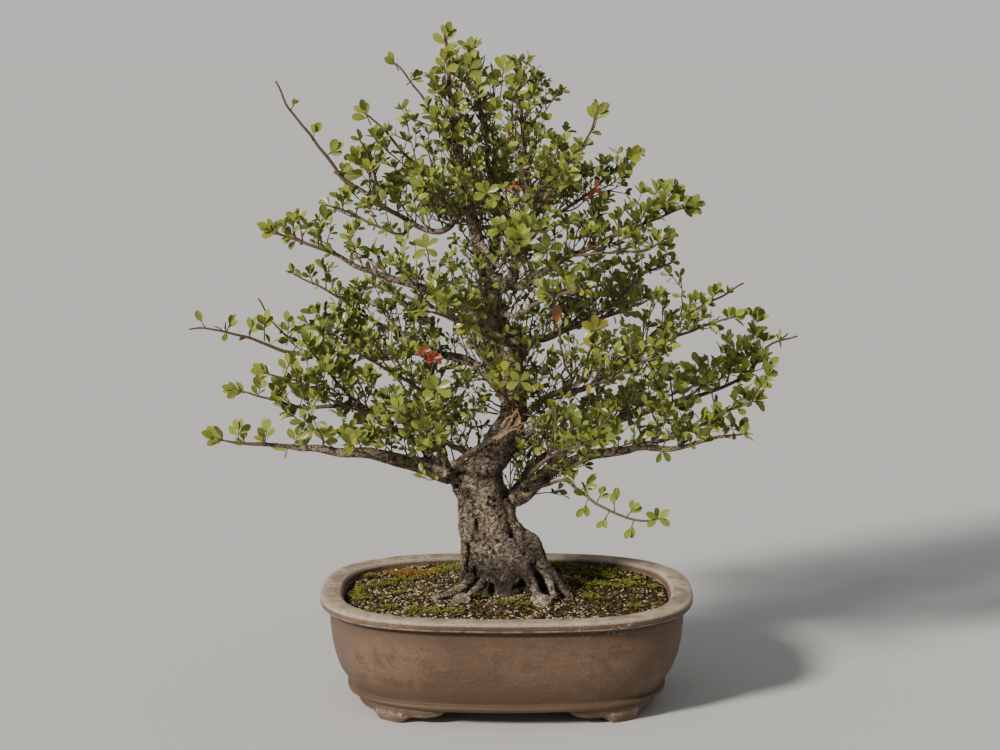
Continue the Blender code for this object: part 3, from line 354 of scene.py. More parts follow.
# Limbs: name, parent, where on it they start (share of its length), first and last radius, the group whose
# twigs and leaves they carry, leaf length, and the points (across, up, back)
LIMBS = [Limb(*row) for row in (
    ("leader", "trunk", 0.94, 15.0, 1.2, "top", 15.0, (
        (8, 252, 5), (12, 266, 4), (13.5, 283, 4), (12, 301, 4), (12, 320, 5), (2, 338, 8), (-4, 357, 10),
        (-8, 376, 9), (-14, 398, 7), (-20, 420, 5), (-28, 450, 2), (-36, 490, 0), (-42, 530, -2),
        (-46, 562, -3), (-48, 590, -3), (-49.5, 607, -4))),
    ("left_limb", "trunk", 0.8, 12.0, 0.9, "left_low", 18.0, (
        (-48, 209, -8), (-72, 216, -18), (-89, 220, -26), (-108, 225, -34), (-124, 227, -40),
        (-154, 229, -48), (-193, 233, -55), (-229, 236, -58), (-250, 238, -60))),
    ("right_limb", "trunk", 0.62, 11.0, 0.9, "right_low", 17.0, (
        (16, 188, -4), (32, 199, -10), (48, 212, -16), (81, 225, -24), (107, 228, -31), (126, 232, -36),
        (158, 231, -42), (181, 237, -46), (203, 243, -50), (218, 243, -52))),
    ("left_rise", "left_limb", 0.16, 6.0, 1.0, "left_low", 14.0, (
        (-52, 232, 4), (-54, 254, 8), (-58, 276, 10), (-61, 298, 12), (-66, 322, 13), (-74, 348, 14))),
    ("front_stub", "left_limb", 0.05, 5.4, 3.6, "left_low", 0.0, (
        (-38, 219, -20), (-22, 231, -27), (-5, 241, -29), (9, 245, -28))),
    ("cut_stub", "trunk", 0.72, 6.5, 4.4, "right_low", 0.0, (
        (16, 236, -14), (36, 254, -24), (53, 268, -30))),
    ("right_fork", "right_limb", 0.6, 2.6, 0.9, "right_low", 17.0, (
        (156, 242, -34), (174, 250, -32), (203, 263, -28), (226, 276, -24), (240, 296, -20))),
    ("second_left", "left_limb", 0.14, 5.0, 0.9, "left_low", 15.0, (
        (-76, 237, -16), (-98, 250, -22), (-120, 265, -28), (-131, 270, -31), (-153, 268, -38),
        (-176, 268, -43), (-206, 275, -47), (-231, 281, -50))),
    ("left_shoot", "second_left", 0.38, 3.0, 0.9, "left_low", 18.0, (
        (-139, 282, -30), (-152, 297, -33), (-169, 317, -38))),
    ("left_twig", "second_left", 0.4, 1.8, 0.8, "left_low", 14.0, (
        (-160, 278, -52), (-176, 288, -62), (-193, 295, -68), (-207, 297, -70))),
    ("long_left", "leader", 0.1, 6.0, 0.8, "left_mid", 17.0, (
        (-20, 305, 20), (-60, 316, 26), (-108, 318, 26), (-148, 317, 20), (-185, 317, 12), (-211, 325, 6),
        (-236, 333, 0), (-262, 339, -4), (-280, 338, -6))),
    ("bare_left", "long_left", 0.6, 1.5, 0.8, "left_mid", 13.0, (
        (-192, 332, 16), (-208, 351, 14), (-218, 366, 12))),
    ("mid_left", "leader", 0.31, 7.5, 0.9, "left_high", 15.0, (
        (-11, 347, -8), (-40, 364, -24), (-54, 370, -30), (-90, 382, -36), (-112, 389, -39),
        (-130, 395, -41), (-147, 404, -42), (-168, 413, -44), (-191, 421, -44), (-204, 425, -44))),
    ("mid_left_low", "long_left", 0.26, 3.2, 0.8, "left_mid", 14.0, (
        (-88, 334, 42), (-122, 350, 52), (-154, 372, 56), (-186, 388, 58))),
    ("upper_left", "leader", 0.6, 4.0, 0.9, "left_high", 20.0, (
        (-54, 426, 18), (-97, 444, 24), (-116, 458, 26), (-140, 472, 26), (-150, 487, 26), (-168, 510, 24),
        (-190, 537, 22), (-202, 562, 20))),
    ("upper_left_low", "upper_left", 0.3, 2.2, 0.8, "left_high", 14.0, (
        (-88, 424, 38), (-116, 434, 48), (-142, 446, 54), (-164, 452, 58))),
    ("upper_left_high", "upper_left", 0.42, 2.0, 0.8, "left_high", 14.0, (
        (-112, 474, 10), (-118, 492, 2), (-126, 508, -4))),
    ("upper_shoot_left", "leader", 0.7, 2.0, 0.8, "top", 15.0, (
        (-50, 516, 16), (-68, 545, 22), (-80, 560, 25), (-94, 577, 26))),
    ("upper_shoot_low", "leader", 0.64, 2.4, 0.8, "top", 14.0, (
        (-56, 472, -16), (-84, 494, -24), (-106, 520, -26), (-126, 535, -28))),
    ("stem_right", "leader", 0.42, 6.5, 0.9, "top", 14.0, (
        (8, 378, 0), (15, 404, -2), (22, 428, -3), (26, 462, -3), (22, 500, 0), (18, 540, 4),
        (14, 578, 6))),
    ("stem_back", "leader", 0.46, 6.0, 0.9, "top", 14.0, (
        (-6, 396, 30), (-2, 428, 44), (-8, 470, 50), (-14, 512, 48), (-20, 552, 44), (-25, 588, 40))),
    ("upper_right", "stem_right", 0.38, 2.6, 0.8, "right_high", 14.0, (
        (40, 455, -14), (54, 478, -22), (70, 500, -26), (82, 516, -28), (88, 534, -30))),
    ("upper_right_low", "stem_right", 0.26, 3.0, 0.8, "right_high", 14.0, (
        (46, 438, 8), (72, 455, 12), (94, 473, 12), (107, 485, 10), (123, 495, 8))),
    ("right_high", "stem_right", 0.03, 5.0, 0.9, "right_high", 15.0, (
        (19, 376, -8), (45, 395, -16), (80, 412, -22), (102, 421, -24), (122, 429, -26), (141, 438, -28),
        (160, 446, -30), (173, 449, -30))),
    ("right_high_low", "right_high", 0.42, 1.8, 0.8, "right_high", 14.0, (
        (108, 407, -40), (132, 411, -46), (151, 420, -50))),
    ("right_back", "leader", 0.24, 4.6, 0.9, "right_mid", 14.0, (
        (38, 330, 24), (70, 344, 38), (100, 358, 44), (120, 382, 44), (134, 391, 42), (154, 398, 40))),
    ("right_mid", "leader", 0.04, 4.8, 0.9, "right_mid", 15.0, (
        (44, 278, -8), (66, 282, -14), (88, 290, -22), (106, 302, -30), (129, 317, -36), (147, 327, -40),
        (174, 337, -44), (195, 345, -46), (209, 348, -48))),
    ("right_mid_upper", "right_mid", 0.55, 1.8, 0.8, "right_mid", 14.0, (
        (140, 336, -24), (158, 348, -20), (178, 357, -18), (196, 366, -16), (219, 380, -14))),
    ("far_right", "right_limb", 0.2, 5.4, 0.8, "right_low", 17.0, (
        (64, 234, 6), (98, 252, 16), (138, 267, 20), (178, 279, 18), (213, 291, 12), (228, 303, 10),
        (237, 319, 8), (253, 328, 4), (268, 332, 2))),
    ("hanging", "right_limb", 0.16, 2.2, 0.9, "right_low", 18.0, (
        (56, 202, -34), (71, 193, -46), (94, 177, -60), (110, 170, -66), (126, 166, -70), (145, 168, -74))),
    ("front_big", "leader", 0.08, 2.6, 1.0, "front_low", 17.0, (
        (2, 290, -30), (-3, 302, -52), (-16, 313, -60), (-24, 326, -66), (-28, 338, -68))),
    ("red_stem", "right_mid", 0.16, 1.7, 1.0, "right_mid", 18.0, (
        (62, 290, -32), (58, 306, -38), (55, 326, -42), (54, 340, -44))),
    ("yellow_shoot", "right_mid", 0.24, 1.8, 0.9, "right_mid", 17.0, (
        (72, 292, -38), (76, 306, -48), (82, 322, -52), (86, 336, -54))),
    ("front_low_right", "right_limb", 0.1, 3.0, 0.9, "front_low", 15.0, (
        (36, 216, -40), (54, 228, -72), (74, 234, -104), (92, 240, -132))),
    ("front_low_left", "left_limb", 0.12, 3.2, 0.9, "front_low", 15.0, (
        (-54, 226, -42), (-66, 240, -76), (-80, 254, -108), (-92, 266, -136))),
    ("front_mid_left", "leader", 0.27, 3.8, 0.9, "front_low", 14.0, (
        (-8, 330, -36), (-28, 342, -78), (-50, 350, -116), (-70, 356, -146))),
    ("front_mid_right", "leader", 0.34, 3.8, 0.9, "front_low", 14.0, (
        (14, 350, -34), (34, 362, -78), (56, 370, -118), (74, 374, -150))),
    ("front_centre", "leader", 0.52, 3.6, 0.9, "front_high", 14.0, (
        (-2, 396, -40), (6, 408, -90), (14, 416, -136), (18, 420, -168))),
    ("front_high_left", "leader", 0.64, 3.0, 0.9, "front_high", 14.0, (
        (-36, 440, -30), (-54, 456, -64), (-72, 466, -98))),
    ("front_high_right", "stem_right", 0.46, 2.8, 0.9, "front_high", 14.0, (
        (34, 462, -40), (46, 474, -74), (60, 480, -106))),
    ("back_low_left", "trunk", 0.84, 5.0, 0.9, "back_low", 15.0, (
        (-26, 224, 40), (-50, 238, 84), (-74, 250, 120), (-92, 260, 152), (-106, 268, 178))),
    ("back_low_right", "right_limb", 0.08, 4.6, 0.9, "back_low", 15.0, (
        (34, 220, 36), (62, 238, 80), (90, 252, 118), (112, 262, 148), (128, 268, 172))),
    ("back_centre", "leader", 0.05, 4.6, 0.9, "back_low", 15.0, (
        (8, 286, 46), (2, 300, 92), (-6, 312, 134), (-10, 322, 172))),
    ("back_mid_left", "leader", 0.26, 4.0, 0.9, "back_high", 15.0, (
        (-24, 340, 52), (-56, 356, 92), (-86, 368, 122), (-114, 378, 144))),
    ("back_mid_right", "right_back", 0.2, 3.6, 0.9, "back_high", 15.0, (
        (58, 336, 70), (86, 346, 104), (112, 356, 132), (132, 364, 154))),
    ("back_high_left", "stem_back", 0.28, 3.2, 0.9, "back_high", 15.0, (
        (-24, 432, 78), (-48, 446, 106), (-72, 458, 128))),
    ("back_high_right", "stem_back", 0.34, 3.2, 0.9, "back_high", 15.0, (
        (18, 434, 82), (42, 448, 110), (64, 460, 130))),
    ("back_high", "stem_back", 0.54, 2.6, 0.9, "back_high", 15.0, (
        (-2, 470, 82), (4, 486, 108), (8, 498, 128))),
    ("left_back_fill", "long_left", 0.36, 3.0, 0.8, "left_mid", 15.0, (
        (-104, 312, 60), (-132, 318, 88), (-160, 326, 112))),
    ("right_back_fill", "far_right", 0.34, 3.0, 0.8, "right_low", 15.0, (
        (114, 262, 56), (146, 276, 84), (176, 288, 108))),
    ("left_front_fill", "left_rise", 0.42, 2.6, 0.8, "left_mid", 14.0, (
        (-72, 284, -22), (-94, 298, -48), (-116, 310, -70), (-136, 322, -88))),
    ("right_front_fill", "right_mid", 0.36, 2.6, 0.8, "right_mid", 15.0, (
        (104, 296, -66), (128, 308, -92), (150, 318, -114))),
)]

# How the limbs that differ from the rest are clothed: the shares of their length where side twigs start and
# end and where the leaves end, and how close the twigs stand
HABITS = {
    "leader": (0.08, 0.89, 0.92, 1.2),
    "stem_right": (0.08, 0.97, 1.0, 1.45),
    "stem_back": (0.08, 0.97, 1.0, 1.3),
    "long_left": (0.08, 0.64, 0.92, 1.1),
    "bare_left": (0.30, 0.30, 0.62, 1.0),
    "left_limb": (0.10, 0.66, 1.0, 0.7),
    "left_twig": (0.20, 0.80, 1.0, 0.7),
    "second_left": (0.08, 0.78, 1.0, 0.55),
    "left_rise": (0.10, 0.90, 1.0, 1.1),
    "mid_left_low": (0.14, 0.80, 1.0, 0.7),
    "left_front_fill": (0.10, 0.85, 1.0, 0.8),
    "upper_left_high": (0.10, 0.50, 1.0, 0.8),
    "upper_shoot_low": (0.08, 0.48, 0.8, 0.9),
    "upper_left_low": (0.06, 0.66, 0.8, 0.7),
    "upper_right": (0.08, 0.58, 1.0, 1.0),
    "upper_right_low": (0.06, 0.90, 1.0, 1.25),
    "right_high": (0.06, 0.92, 1.0, 1.3),
    "right_high_low": (0.06, 0.92, 1.0, 1.2),
    "right_fork": (0.10, 0.80, 1.0, 0.7),
    "far_right": (0.10, 0.86, 0.98, 1.0),
    "right_mid_upper": (0.10, 0.70, 0.88, 0.55),
    "upper_left": (0.04, 0.46, 0.50, 1.2),
    "upper_shoot_left": (0.04, 0.36, 0.55, 1.0),
    "back_centre": (0.06, 0.90, 1.0, 1.7),
    "back_mid_right": (0.06, 0.90, 1.0, 1.3),
    "back_high_left": (0.06, 0.90, 1.0, 1.2),
    "right_back": (0.06, 0.90, 1.0, 1.3),
    "hanging": (0.40, 0.40, 0.5, 1.0),
    "yellow_shoot": (0.45, 0.45, 1.0, 1.0),
    "front_big": (0.42, 0.42, 1.0, 1.0),
    "front_low_left": (0.30, 0.90, 1.0, 0.8),
    "front_low_right": (0.30, 0.90, 1.0, 0.8),
    "front_mid_left": (0.46, 0.92, 1.0, 0.9),
    "front_mid_right": (0.58, 0.94, 1.0, 0.9),
    "front_centre": (0.60, 0.94, 1.0, 0.9),
    "front_high_left": (0.34, 0.92, 1.0, 1.0),
    "front_high_right": (0.34, 0.92, 1.0, 1.0),
    "red_stem": (2.0, 2.0, 0.0, 1.0),
    "front_stub": (2.0, 2.0, 0.0, 1.0),
    "cut_stub": (2.0, 2.0, 0.0, 1.0),
}
USUAL_HABIT = (0.06, 0.90, 1.0, 1.0)
# Limbs with leaves of their own age: how yellow and how red
AGED = {"yellow_shoot": (0.75, 0.0), "front_big": (0.22, 0.0)}

# Rosettes on the limbs: limb, share of it, leaf length, number, how yellow and how red
ACCENTS = (
    ("red_stem", 0.72, 11.0, 2, 0.7, 0.1),
    ("right_high", 0.50, 9.0, 5, 0.1, 0.95),
    ("front_big", 0.60, 15.0, 4, 0.25, 0.0),
    ("front_big", 0.98, 17.0, 4, 0.3, 0.0),
    ("front_low_left", 0.80, 16.0, 5, 0.0, 0.0),
    ("front_low_right", 0.90, 15.0, 5, 0.0, 0.0),
    ("front_high_left", 0.95, 14.0, 5, 0.05, 0.0),
    ("front_high_right", 0.95, 14.0, 5, 0.05, 0.0),
    ("front_centre", 0.97, 15.0, 5, 0.05, 0.0),
)
# Rosettes on stems of their own, turned to the front: group, leaf length, number, how yellow and how red,
# and the stem's two ends (across, up, back)
ROSETTES = (
    ("right_mid", 18.0, 1, 0.30, 0.80, (54, 330, -42), (51.5, 343, -64)),
    ("left_mid", 7.6, 8, 0.0, 0.98, (-72, 284, -22), (-59, 312, -98)),
    ("left_mid", 6.4, 5, 0.0, 0.95, (-70, 290, -30), (-68, 318, -96)),
    ("right_high", 10.0, 3, 0.05, 0.95, (72, 455, 12), (87, 464, -38)),
    ("right_high", 7.0, 3, 0.3, 0.75, (26, 452, -3), (12, 468, -56)),
    ("top", 6.5, 2, 0.6, 0.45, (18, 424, -3), (14, 445, -60)),
    ("front_low", 14.5, 4, 0.2, 0.0, (-16, 313, -60), (-29, 342, -78)),
    ("front_low", 14.5, 5, 0.0, 0.0, (-66, 242, -78), (-58, 285, -116)),
    ("front_high", 13.0, 5, 0.0, 0.0, (-36, 440, -30), (-12, 461, -66)),
    ("front_high", 14.0, 5, 0.0, 0.0, (-4, 398, -44), (2, 429, -88)),
    ("front_high", 14.5, 5, 0.0, 0.0, (15, 404, -6), (43, 409, -74)),
    ("left_high", 13.0, 5, 0.0, 0.0, (-54, 370, -30), (-66, 411, -76)),
    ("right_mid", 14.0, 5, 0.45, 0.0, (80, 318, -50), (86, 338, -62)),
    ("front_low", 13.0, 4, 0.1, 0.0, (12, 282, -10), (18, 291, -56)),
    ("right_mid", 11.0, 1, 0.85, 0.1, (78, 288, -20), (80, 279, -56)),
    ("left_mid", 13.0, 5, 0.0, 0.0, (-150, 316, 18), (-160, 322, -24)),
    ("left_low", 13.0, 5, 0.0, 0.0, (-120, 226, -40), (-128, 240, -66)),
    ("right_high", 13.0, 5, 0.05, 0.0, (68, 452, 12), (64, 470, -36)),
    ("right_low", 13.5, 5, 0.05, 0.0, (134, 166, -72), (142, 168, -75)),
)
# Leafy tips at the crown's edge, their leaves in turn right and left of the stem: group, leaf length, number,
# and the stem's two ends
SPRIGS = (
    ("top", 14.0, 5, (-49, 578, -4), (-48, 604, -8)),
    ("top", 13.0, 6, (-49, 556, -6), (-50, 582, -18)),
    ("top", 13.0, 5, (-32, 552, -6), (-26, 579, -14)),
    ("top", 13.5, 6, (0, 544, -4), (3, 574, -10)),
    ("top", 12.5, 6, (10, 534, -6), (16, 562, -16)),
    ("top", 12.5, 5, (-24, 534, -10), (-19, 560, -22)),
    ("top", 12.5, 5, (-52, 540, -6), (-60, 562, -16)),
    ("top", 12.0, 6, (20, 524, -6), (29, 551, -12)),
    ("top", 11.5, 5, (-46, 524, -8), (-38, 546, -24)),
    ("top", 11.5, 5, (-54, 510, -6), (-58, 532, -20)),
    ("top", 11.5, 5, (-8, 516, -10), (-4, 540, -24)),
    ("top", 11.5, 5, (-42, 494, -10), (-36, 518, -28)),
    ("top", 11.5, 5, (4, 492, -10), (8, 516, -26)),
    ("top", 11.0, 5, (-24, 470, -14), (-20, 494, -34)),
    ("top", 12.0, 2, (-91, 571, 26), (-95, 578, 26)),
    ("top", 12.0, 4, (-84, 558, 22), (-76, 565, 16)),
    ("top", 13.0, 4, (-116, 522, -27), (-122, 534, -30)),
    ("left_high", 7.0, 2, (-189, 535, 21), (-185, 541, 19)),
    ("left_high", 14.0, 2, (-169, 508, 24), (-167, 515, 21)),
    ("left_high", 15.0, 3, (-156, 494, 25), (-152, 498, 20)),
    ("left_high", 11.0, 3, (-145, 477, 25), (-142, 482, 20)),
    ("left_high", 12.0, 4, (-125, 484, -3), (-129, 494, -8)),
    ("left_high", 13.0, 5, (-194, 422, -44), (-206, 428, -46)),
    ("left_high", 13.0, 2, (-184, 420, -44), (-186, 434, -48)),
    ("left_high", 12.0, 5, (-142, 444, 2), (-140, 458, -10)),
    ("left_mid", 13.0, 5, (-168, 378, 44), (-172, 390, 32)),
    ("left_mid", 13.0, 4, (-212, 328, 2), (-212, 344, -6)),
    ("left_mid", 13.0, 5, (-192, 324, 10), (-190, 344, -2)),
    ("right_high", 14.0, 4, (85, 520, -29), (88, 531, -31)),
    ("right_high", 14.0, 4, (108, 485, 8), (119, 494, 0)),
    ("right_high", 13.0, 5, (156, 444, -30), (173, 450, -32)),
    ("right_high", 13.0, 5, (128, 432, -30), (136, 448, -36)),
    ("right_mid", 13.0, 5, (146, 396, 38), (152, 414, 28)),
    ("right_mid", 12.0, 4, (188, 360, -17), (194, 372, -22)),
    ("right_mid", 13.0, 4, (202, 346, -48), (213, 351, -50)),
    ("right_low", 13.0, 5, (214, 290, 12), (220, 302, 4)),
    ("right_low", 13.0, 5, (226, 299, 8), (237, 292, -2)),
    ("right_low", 12.5, 5, (205, 290, 12), (208, 308, 6)),
    ("right_low", 12.5, 5, (216, 286, 6), (230, 280, -12)),
    ("left_low", 13.0, 4, (-249, 238, -60), (-256, 241, -61)),
    ("left_low", 13.0, 4, (-236, 236, -58), (-235, 247, -60)),
    ("left_low", 13.0, 4, (-212, 234, -57), (-210, 246, -59)),
    ("left_low", 12.0, 4, (-186, 232, -54), (-182, 243, -57)),
    ("left_low", 13.0, 5, (-162, 229, -49), (-157, 244, -53)),
    ("left_low", 13.0, 5, (-141, 228, -44), (-136, 246, -48)),
    ("left_low", 12.5, 5, (-118, 226, -38), (-112, 244, -44)),
    ("left_low", 13.0, 4, (-230, 281, -50), (-239, 284, -51)),
    ("left_low", 13.0, 4, (-218, 278, -48), (-215, 289, -51)),
    ("left_low", 12.0, 4, (-202, 274, -46), (-198, 286, -49)),
    ("left_low", 12.0, 4, (-180, 268, -43), (-177, 281, -47)),
    ("left_low", 12.0, 3, (-206, 297, -70), (-213, 300, -71)),
    ("left_low", 13.0, 4, (-194, 295, -68), (-190, 308, -70)),
    ("left_low", 14.0, 5, (-168, 316, -38), (-172, 327, -41)),
    ("left_mid", 13.0, 1, (-265, 339, -4), (-268, 344, -5)),
    ("left_mid", 12.0, 3, (-246, 336, -2), (-243, 343, -3)),
    ("left_mid", 12.0, 3, (-226, 330, 2), (-223, 339, 0)),
    ("right_low", 12.0, 4, (68, 195, -44), (65, 205, -47)),
    ("right_low", 12.0, 3, (72, 192, -47), (79, 199, -50)),
    ("right_low", 11.0, 2, (80, 187, -51), (76, 178, -53)),
    ("right_low", 11.0, 3, (87, 182, -56), (91, 190, -58)),
    ("right_low", 13.0, 2, (103, 173, -63), (103, 182, -64)),
    ("right_low", 11.0, 2, (99, 175, -62), (94, 167, -63)),
    ("right_low", 11.0, 3, (114, 169, -67), (119, 176, -68)),
    ("right_low", 11.0, 2, (121, 167, -69), (118, 160, -70)),
    ("right_mid", 13.0, 6, (76, 306, -49), (84, 328, -57)),
)

# The half outlines of a leaf of unit length, fine and plain: share of its length and share of its half width
FINE_OUTLINE = ((0.0, 0.0), (0.13, 0.22), (0.34, 0.68), (0.56, 0.98), (0.78, 0.90), (0.94, 0.46), (1.0, 0.0))
PLAIN_OUTLINE = ((0.0, 0.0), (0.42, 0.86), (0.80, 0.86), (1.0, 0.0))
# Leaf forms: fold along the rib, curl along it, and twist
LEAF_FORMS = ((0.22, 0.10, 0.0), (0.38, 0.16, 0.06), (0.12, 0.20, -0.08), (0.30, 0.03, 0.10))

# Forms of the grains: seed, and length, width and thickness to one another
GRAIN_FORMS = ((3, 1.0, 0.75, 0.55), (5, 1.2, 0.6, 0.45), (8, 1.7, 0.5, 0.28), (13, 1.9, 0.42, 0.24))

# Where moss grows on the soil: place across and back from the pot's centre, and half sizes
MOSS = (
    (-138, 14, 9, 17), (-134, -16, 12, 15), (-112, 24, 18, 10), (-96, 42, 20, 10), (-78, 58, 18, 11),
    (-60, 74, 20, 11), (-44, 90, 22, 10), (-24, 78, 16, 11), (-98, -6, 8, 6), (-104, -50, 12, 7),
    (-82, -62, 12, 8), (-62, -74, 20, 8), (-44, -74, 13, 8), (-36, -12, 13, 9), (-27, -38, 11, 8),
    (-42, -28, 9, 6), (4, -58, 13, 9), (-118, -60, 9, 5), (-128, 58, 8, 7), (44, 94, 18, 12),
    (60, 78, 22, 13), (80, 74, 24, 11), (86, 54, 27, 10), (114, 34, 15, 9), (70, 12, 17, 10),
    (92, 15, 19, 9), (54, -22, 12, 7), (78, -32, 14, 7), (17, -62, 10, 6), (114, -54, 7, 6),
    (136, 24, 6, 8), (122, 54, 11, 6), (33, -33, 8, 6), (-92, 68, 27, 12),
)
# The ovals on the soil where the moss is rust-red and where fallen leaves lie thick
RUSTY_MOSS = (-92, 68, 30, 16)
LEAF_DRIFT = (-92, 66, 34, 24)
# How many places on the soil are tried for fallen leaves, and how many of them bear one outside the drift
LITTER_TRIES = 1500
LITTER_ONE_IN = 40
TUFT_BLADES = 6
TUFT_FORMS = 4

# Studio light: the way that the sun's light comes from, its strength and spread, and the soft light all round
SUN_FROM = Vector((-1.15, -1.1, 0.86))
SUN_STRENGTH = 4.4
SUN_SPREAD = math.radians(9)
SUN_TONE = (1.0, 0.97, 0.92)
SKY_LIGHT = 0.29
SKY_TONE = (0.97, 0.99, 1.0)
FLOOR_TONE = (0.66, 0.65, 0.63)
FLOOR_RADIUS = 60
FLOOR_DROP = 0.0003


def length_of(name, description, default):
    return FloatProperty(name=name, description=description, default=default, min=0.0001, max=0.2,
                         unit="LENGTH", precision=4)


def colour_of(name, description, default):
    return FloatVectorProperty(name=name, description=description, default=default, subtype="COLOR",
                               size=3, min=0, max=1)


class BonsaiSizes(bpy.types.PropertyGroup):
    """The sizes and counts that set how fine and how full the tree and its soil are."""

    bark_voxel: length_of("Bark mesh", "Edge length of the mesh that fuses trunk and limbs", 0.00125)
    bark_depth: length_of("Bark depth", "How deep the bark of the trunk is broken up", 0.0013)
    twig_step: length_of("Twig spacing", "Distance between side twigs along a limb", 0.0094)
    twig_longest: length_of("Longest twigs", "Length of the side twigs far from a limb's tip", 0.043)
    twig_at_tip: length_of("Outer twigs", "Length of the side twigs at a limb's tip", 0.010)
    node_step: length_of("Bud spacing", "Distance between leaf tufts along a twig", 0.0093)
    inner_leaf: length_of("Inner leaf", "Length of the small leaves inside the crown", 0.0078)
    leaf_share: FloatProperty(name="Outer leaf", description="Outer leaves as a share of the limb's own size",
                              default=0.80, min=0.3, max=1.5, subtype="FACTOR")
    leaf_width: FloatProperty(name="Leaf width", description="Width of a leaf as a share of its length",
                              default=0.53, min=0.2, max=1.0, subtype="FACTOR")
    grains: IntProperty(name="Grains", description="Number of soil grains", default=8300, min=0, max=9900)
    moss_tufts: IntProperty(name="Moss", description="Number of moss tufts", default=5200, min=0, max=6000)


class BonsaiColours(bpy.types.PropertyGroup):
    """The colours of the finishes."""

    # Leaf, lit and Leaf, shaded are lit and shaded copies of the leaf colour; the mix between them is mostly
    # painted light, with random tone
    leaf_light: colour_of("Leaf, lit", "Young leaves on the outside", (0.30, 0.345, 0.038))
    leaf_dark: colour_of("Leaf, shaded", "Old leaves inside the crown", (0.078, 0.102, 0.012))
    leaf_under: colour_of("Leaf, underside", "The paler underside", (0.29, 0.325, 0.075))
    leaf_yellow: colour_of("Leaf, yellow", "Leaves that turn yellow", (0.55, 0.48, 0.05))
    leaf_red: colour_of("Leaf, red", "Leaves that turn red", (0.27, 0.015, 0.010))
    leaf_orange: colour_of("Leaf, orange", "Leaves on their way to red", (0.58, 0.165, 0.035))
    stem: colour_of("Young stem", "Twigs of this year", (0.110, 0.060, 0.036))
    stem_old: colour_of("Twigs, older", "Grey-brown bark of older twigs", (0.240, 0.175, 0.120))
    bark_light: colour_of("Bark, light", "Weathered scales", (0.56, 0.43, 0.305))
    bark_mid: colour_of("Bark", "The body of the bark", (0.088, 0.056, 0.034))
    # bark_dark paints cracks, and also the painted shade in the bark's hollows, at the trunk's foot, in the
    # fork and under the pot's lip
    bark_dark: colour_of("Bark, dark", "Cracks and hollows", (0.020, 0.012, 0.007))
    # bark_pale: paler scale edges and dry roots, and the painted glints on the bark's crests
    bark_pale: colour_of("Bark, pale", "Fresh edges of the scales", (0.64, 0.52, 0.40))
    lichen: colour_of("Lichen", "Grey-green growth on old bark", (0.18, 0.20, 0.11))
    torn: colour_of("Torn wood", "Where a limb broke away", (0.27, 0.140, 0.070))
    torn_pale: colour_of("Torn wood, pale", "Its splinters", (0.50, 0.345, 0.215))
    clay: colour_of("Clay", "The pot's body", (0.172, 0.103, 0.062))
    # clay_dark also paints the shadow below the lip
    clay_dark: colour_of("Clay, dark", "Scorched patches", (0.098, 0.058, 0.034))
    # clay_pale also paints the highlight lines on the lip's edges
    clay_pale: colour_of("Clay, pale", "Worn edges and lime", (0.56, 0.46, 0.36))
    lip: colour_of("Lip", "The lip's weathered top", (0.60, 0.475, 0.34))
    clay_end: colour_of("Clay, left end", "The greyer clay of the left end", (0.150, 0.105, 0.085))
    lip_dark: colour_of("Lip, dark", "The lip where it stayed damp", (0.33, 0.25, 0.175))
    soil: colour_of("Soil", "Damp earth between the grains", (0.012, 0.007, 0.004))
    grain_dark: colour_of("Grain, dark", "Damp lava and bark chips", (0.013, 0.008, 0.005))
    grain_brown: colour_of("Grain, brown", "Fired clay grains", (0.215, 0.122, 0.058))
    grain_pale: colour_of("Grain, pale", "Dry pale grains", (0.84, 0.70, 0.38))
    moss_light: colour_of("Moss, lit", "Tips of the moss", (0.36, 0.37, 0.060))
    moss_rust: colour_of("Moss, dry", "Rust-red tips of the dry moss", (0.42, 0.125, 0.045))
    moss_dark: colour_of("Moss, shaded", "Foot of the moss", (0.036, 0.040, 0.008))
    stone: colour_of("Stone", "Pale stones at the trunk's foot", (0.50, 0.46, 0.38))


def math_method(operation, swapped=False):
    """A method of Value that adds a Math node; swapped for the operators that Python calls from the right."""

    def method(self, *others):
        values = (*others, self) if swapped else (self, *others)
        return self.finish.node("ShaderNodeMath", {"operation": operation}, values)

    return method


class Value:
    """A value in a material, which Python's operators work on by adding Math nodes."""

    def __init__(self, finish, socket):
        self.finish = finish
        self.socket = socket

    __add__ = math_method("ADD")
    __radd__ = math_method("ADD", swapped=True)
    __sub__ = math_method("SUBTRACT")
    __rsub__ = math_method("SUBTRACT", swapped=True)
    __mul__ = math_method("MULTIPLY")
    __rmul__ = math_method("MULTIPLY", swapped=True)
    __abs__ = math_method("ABSOLUTE")
    sine = math_method("SINE")


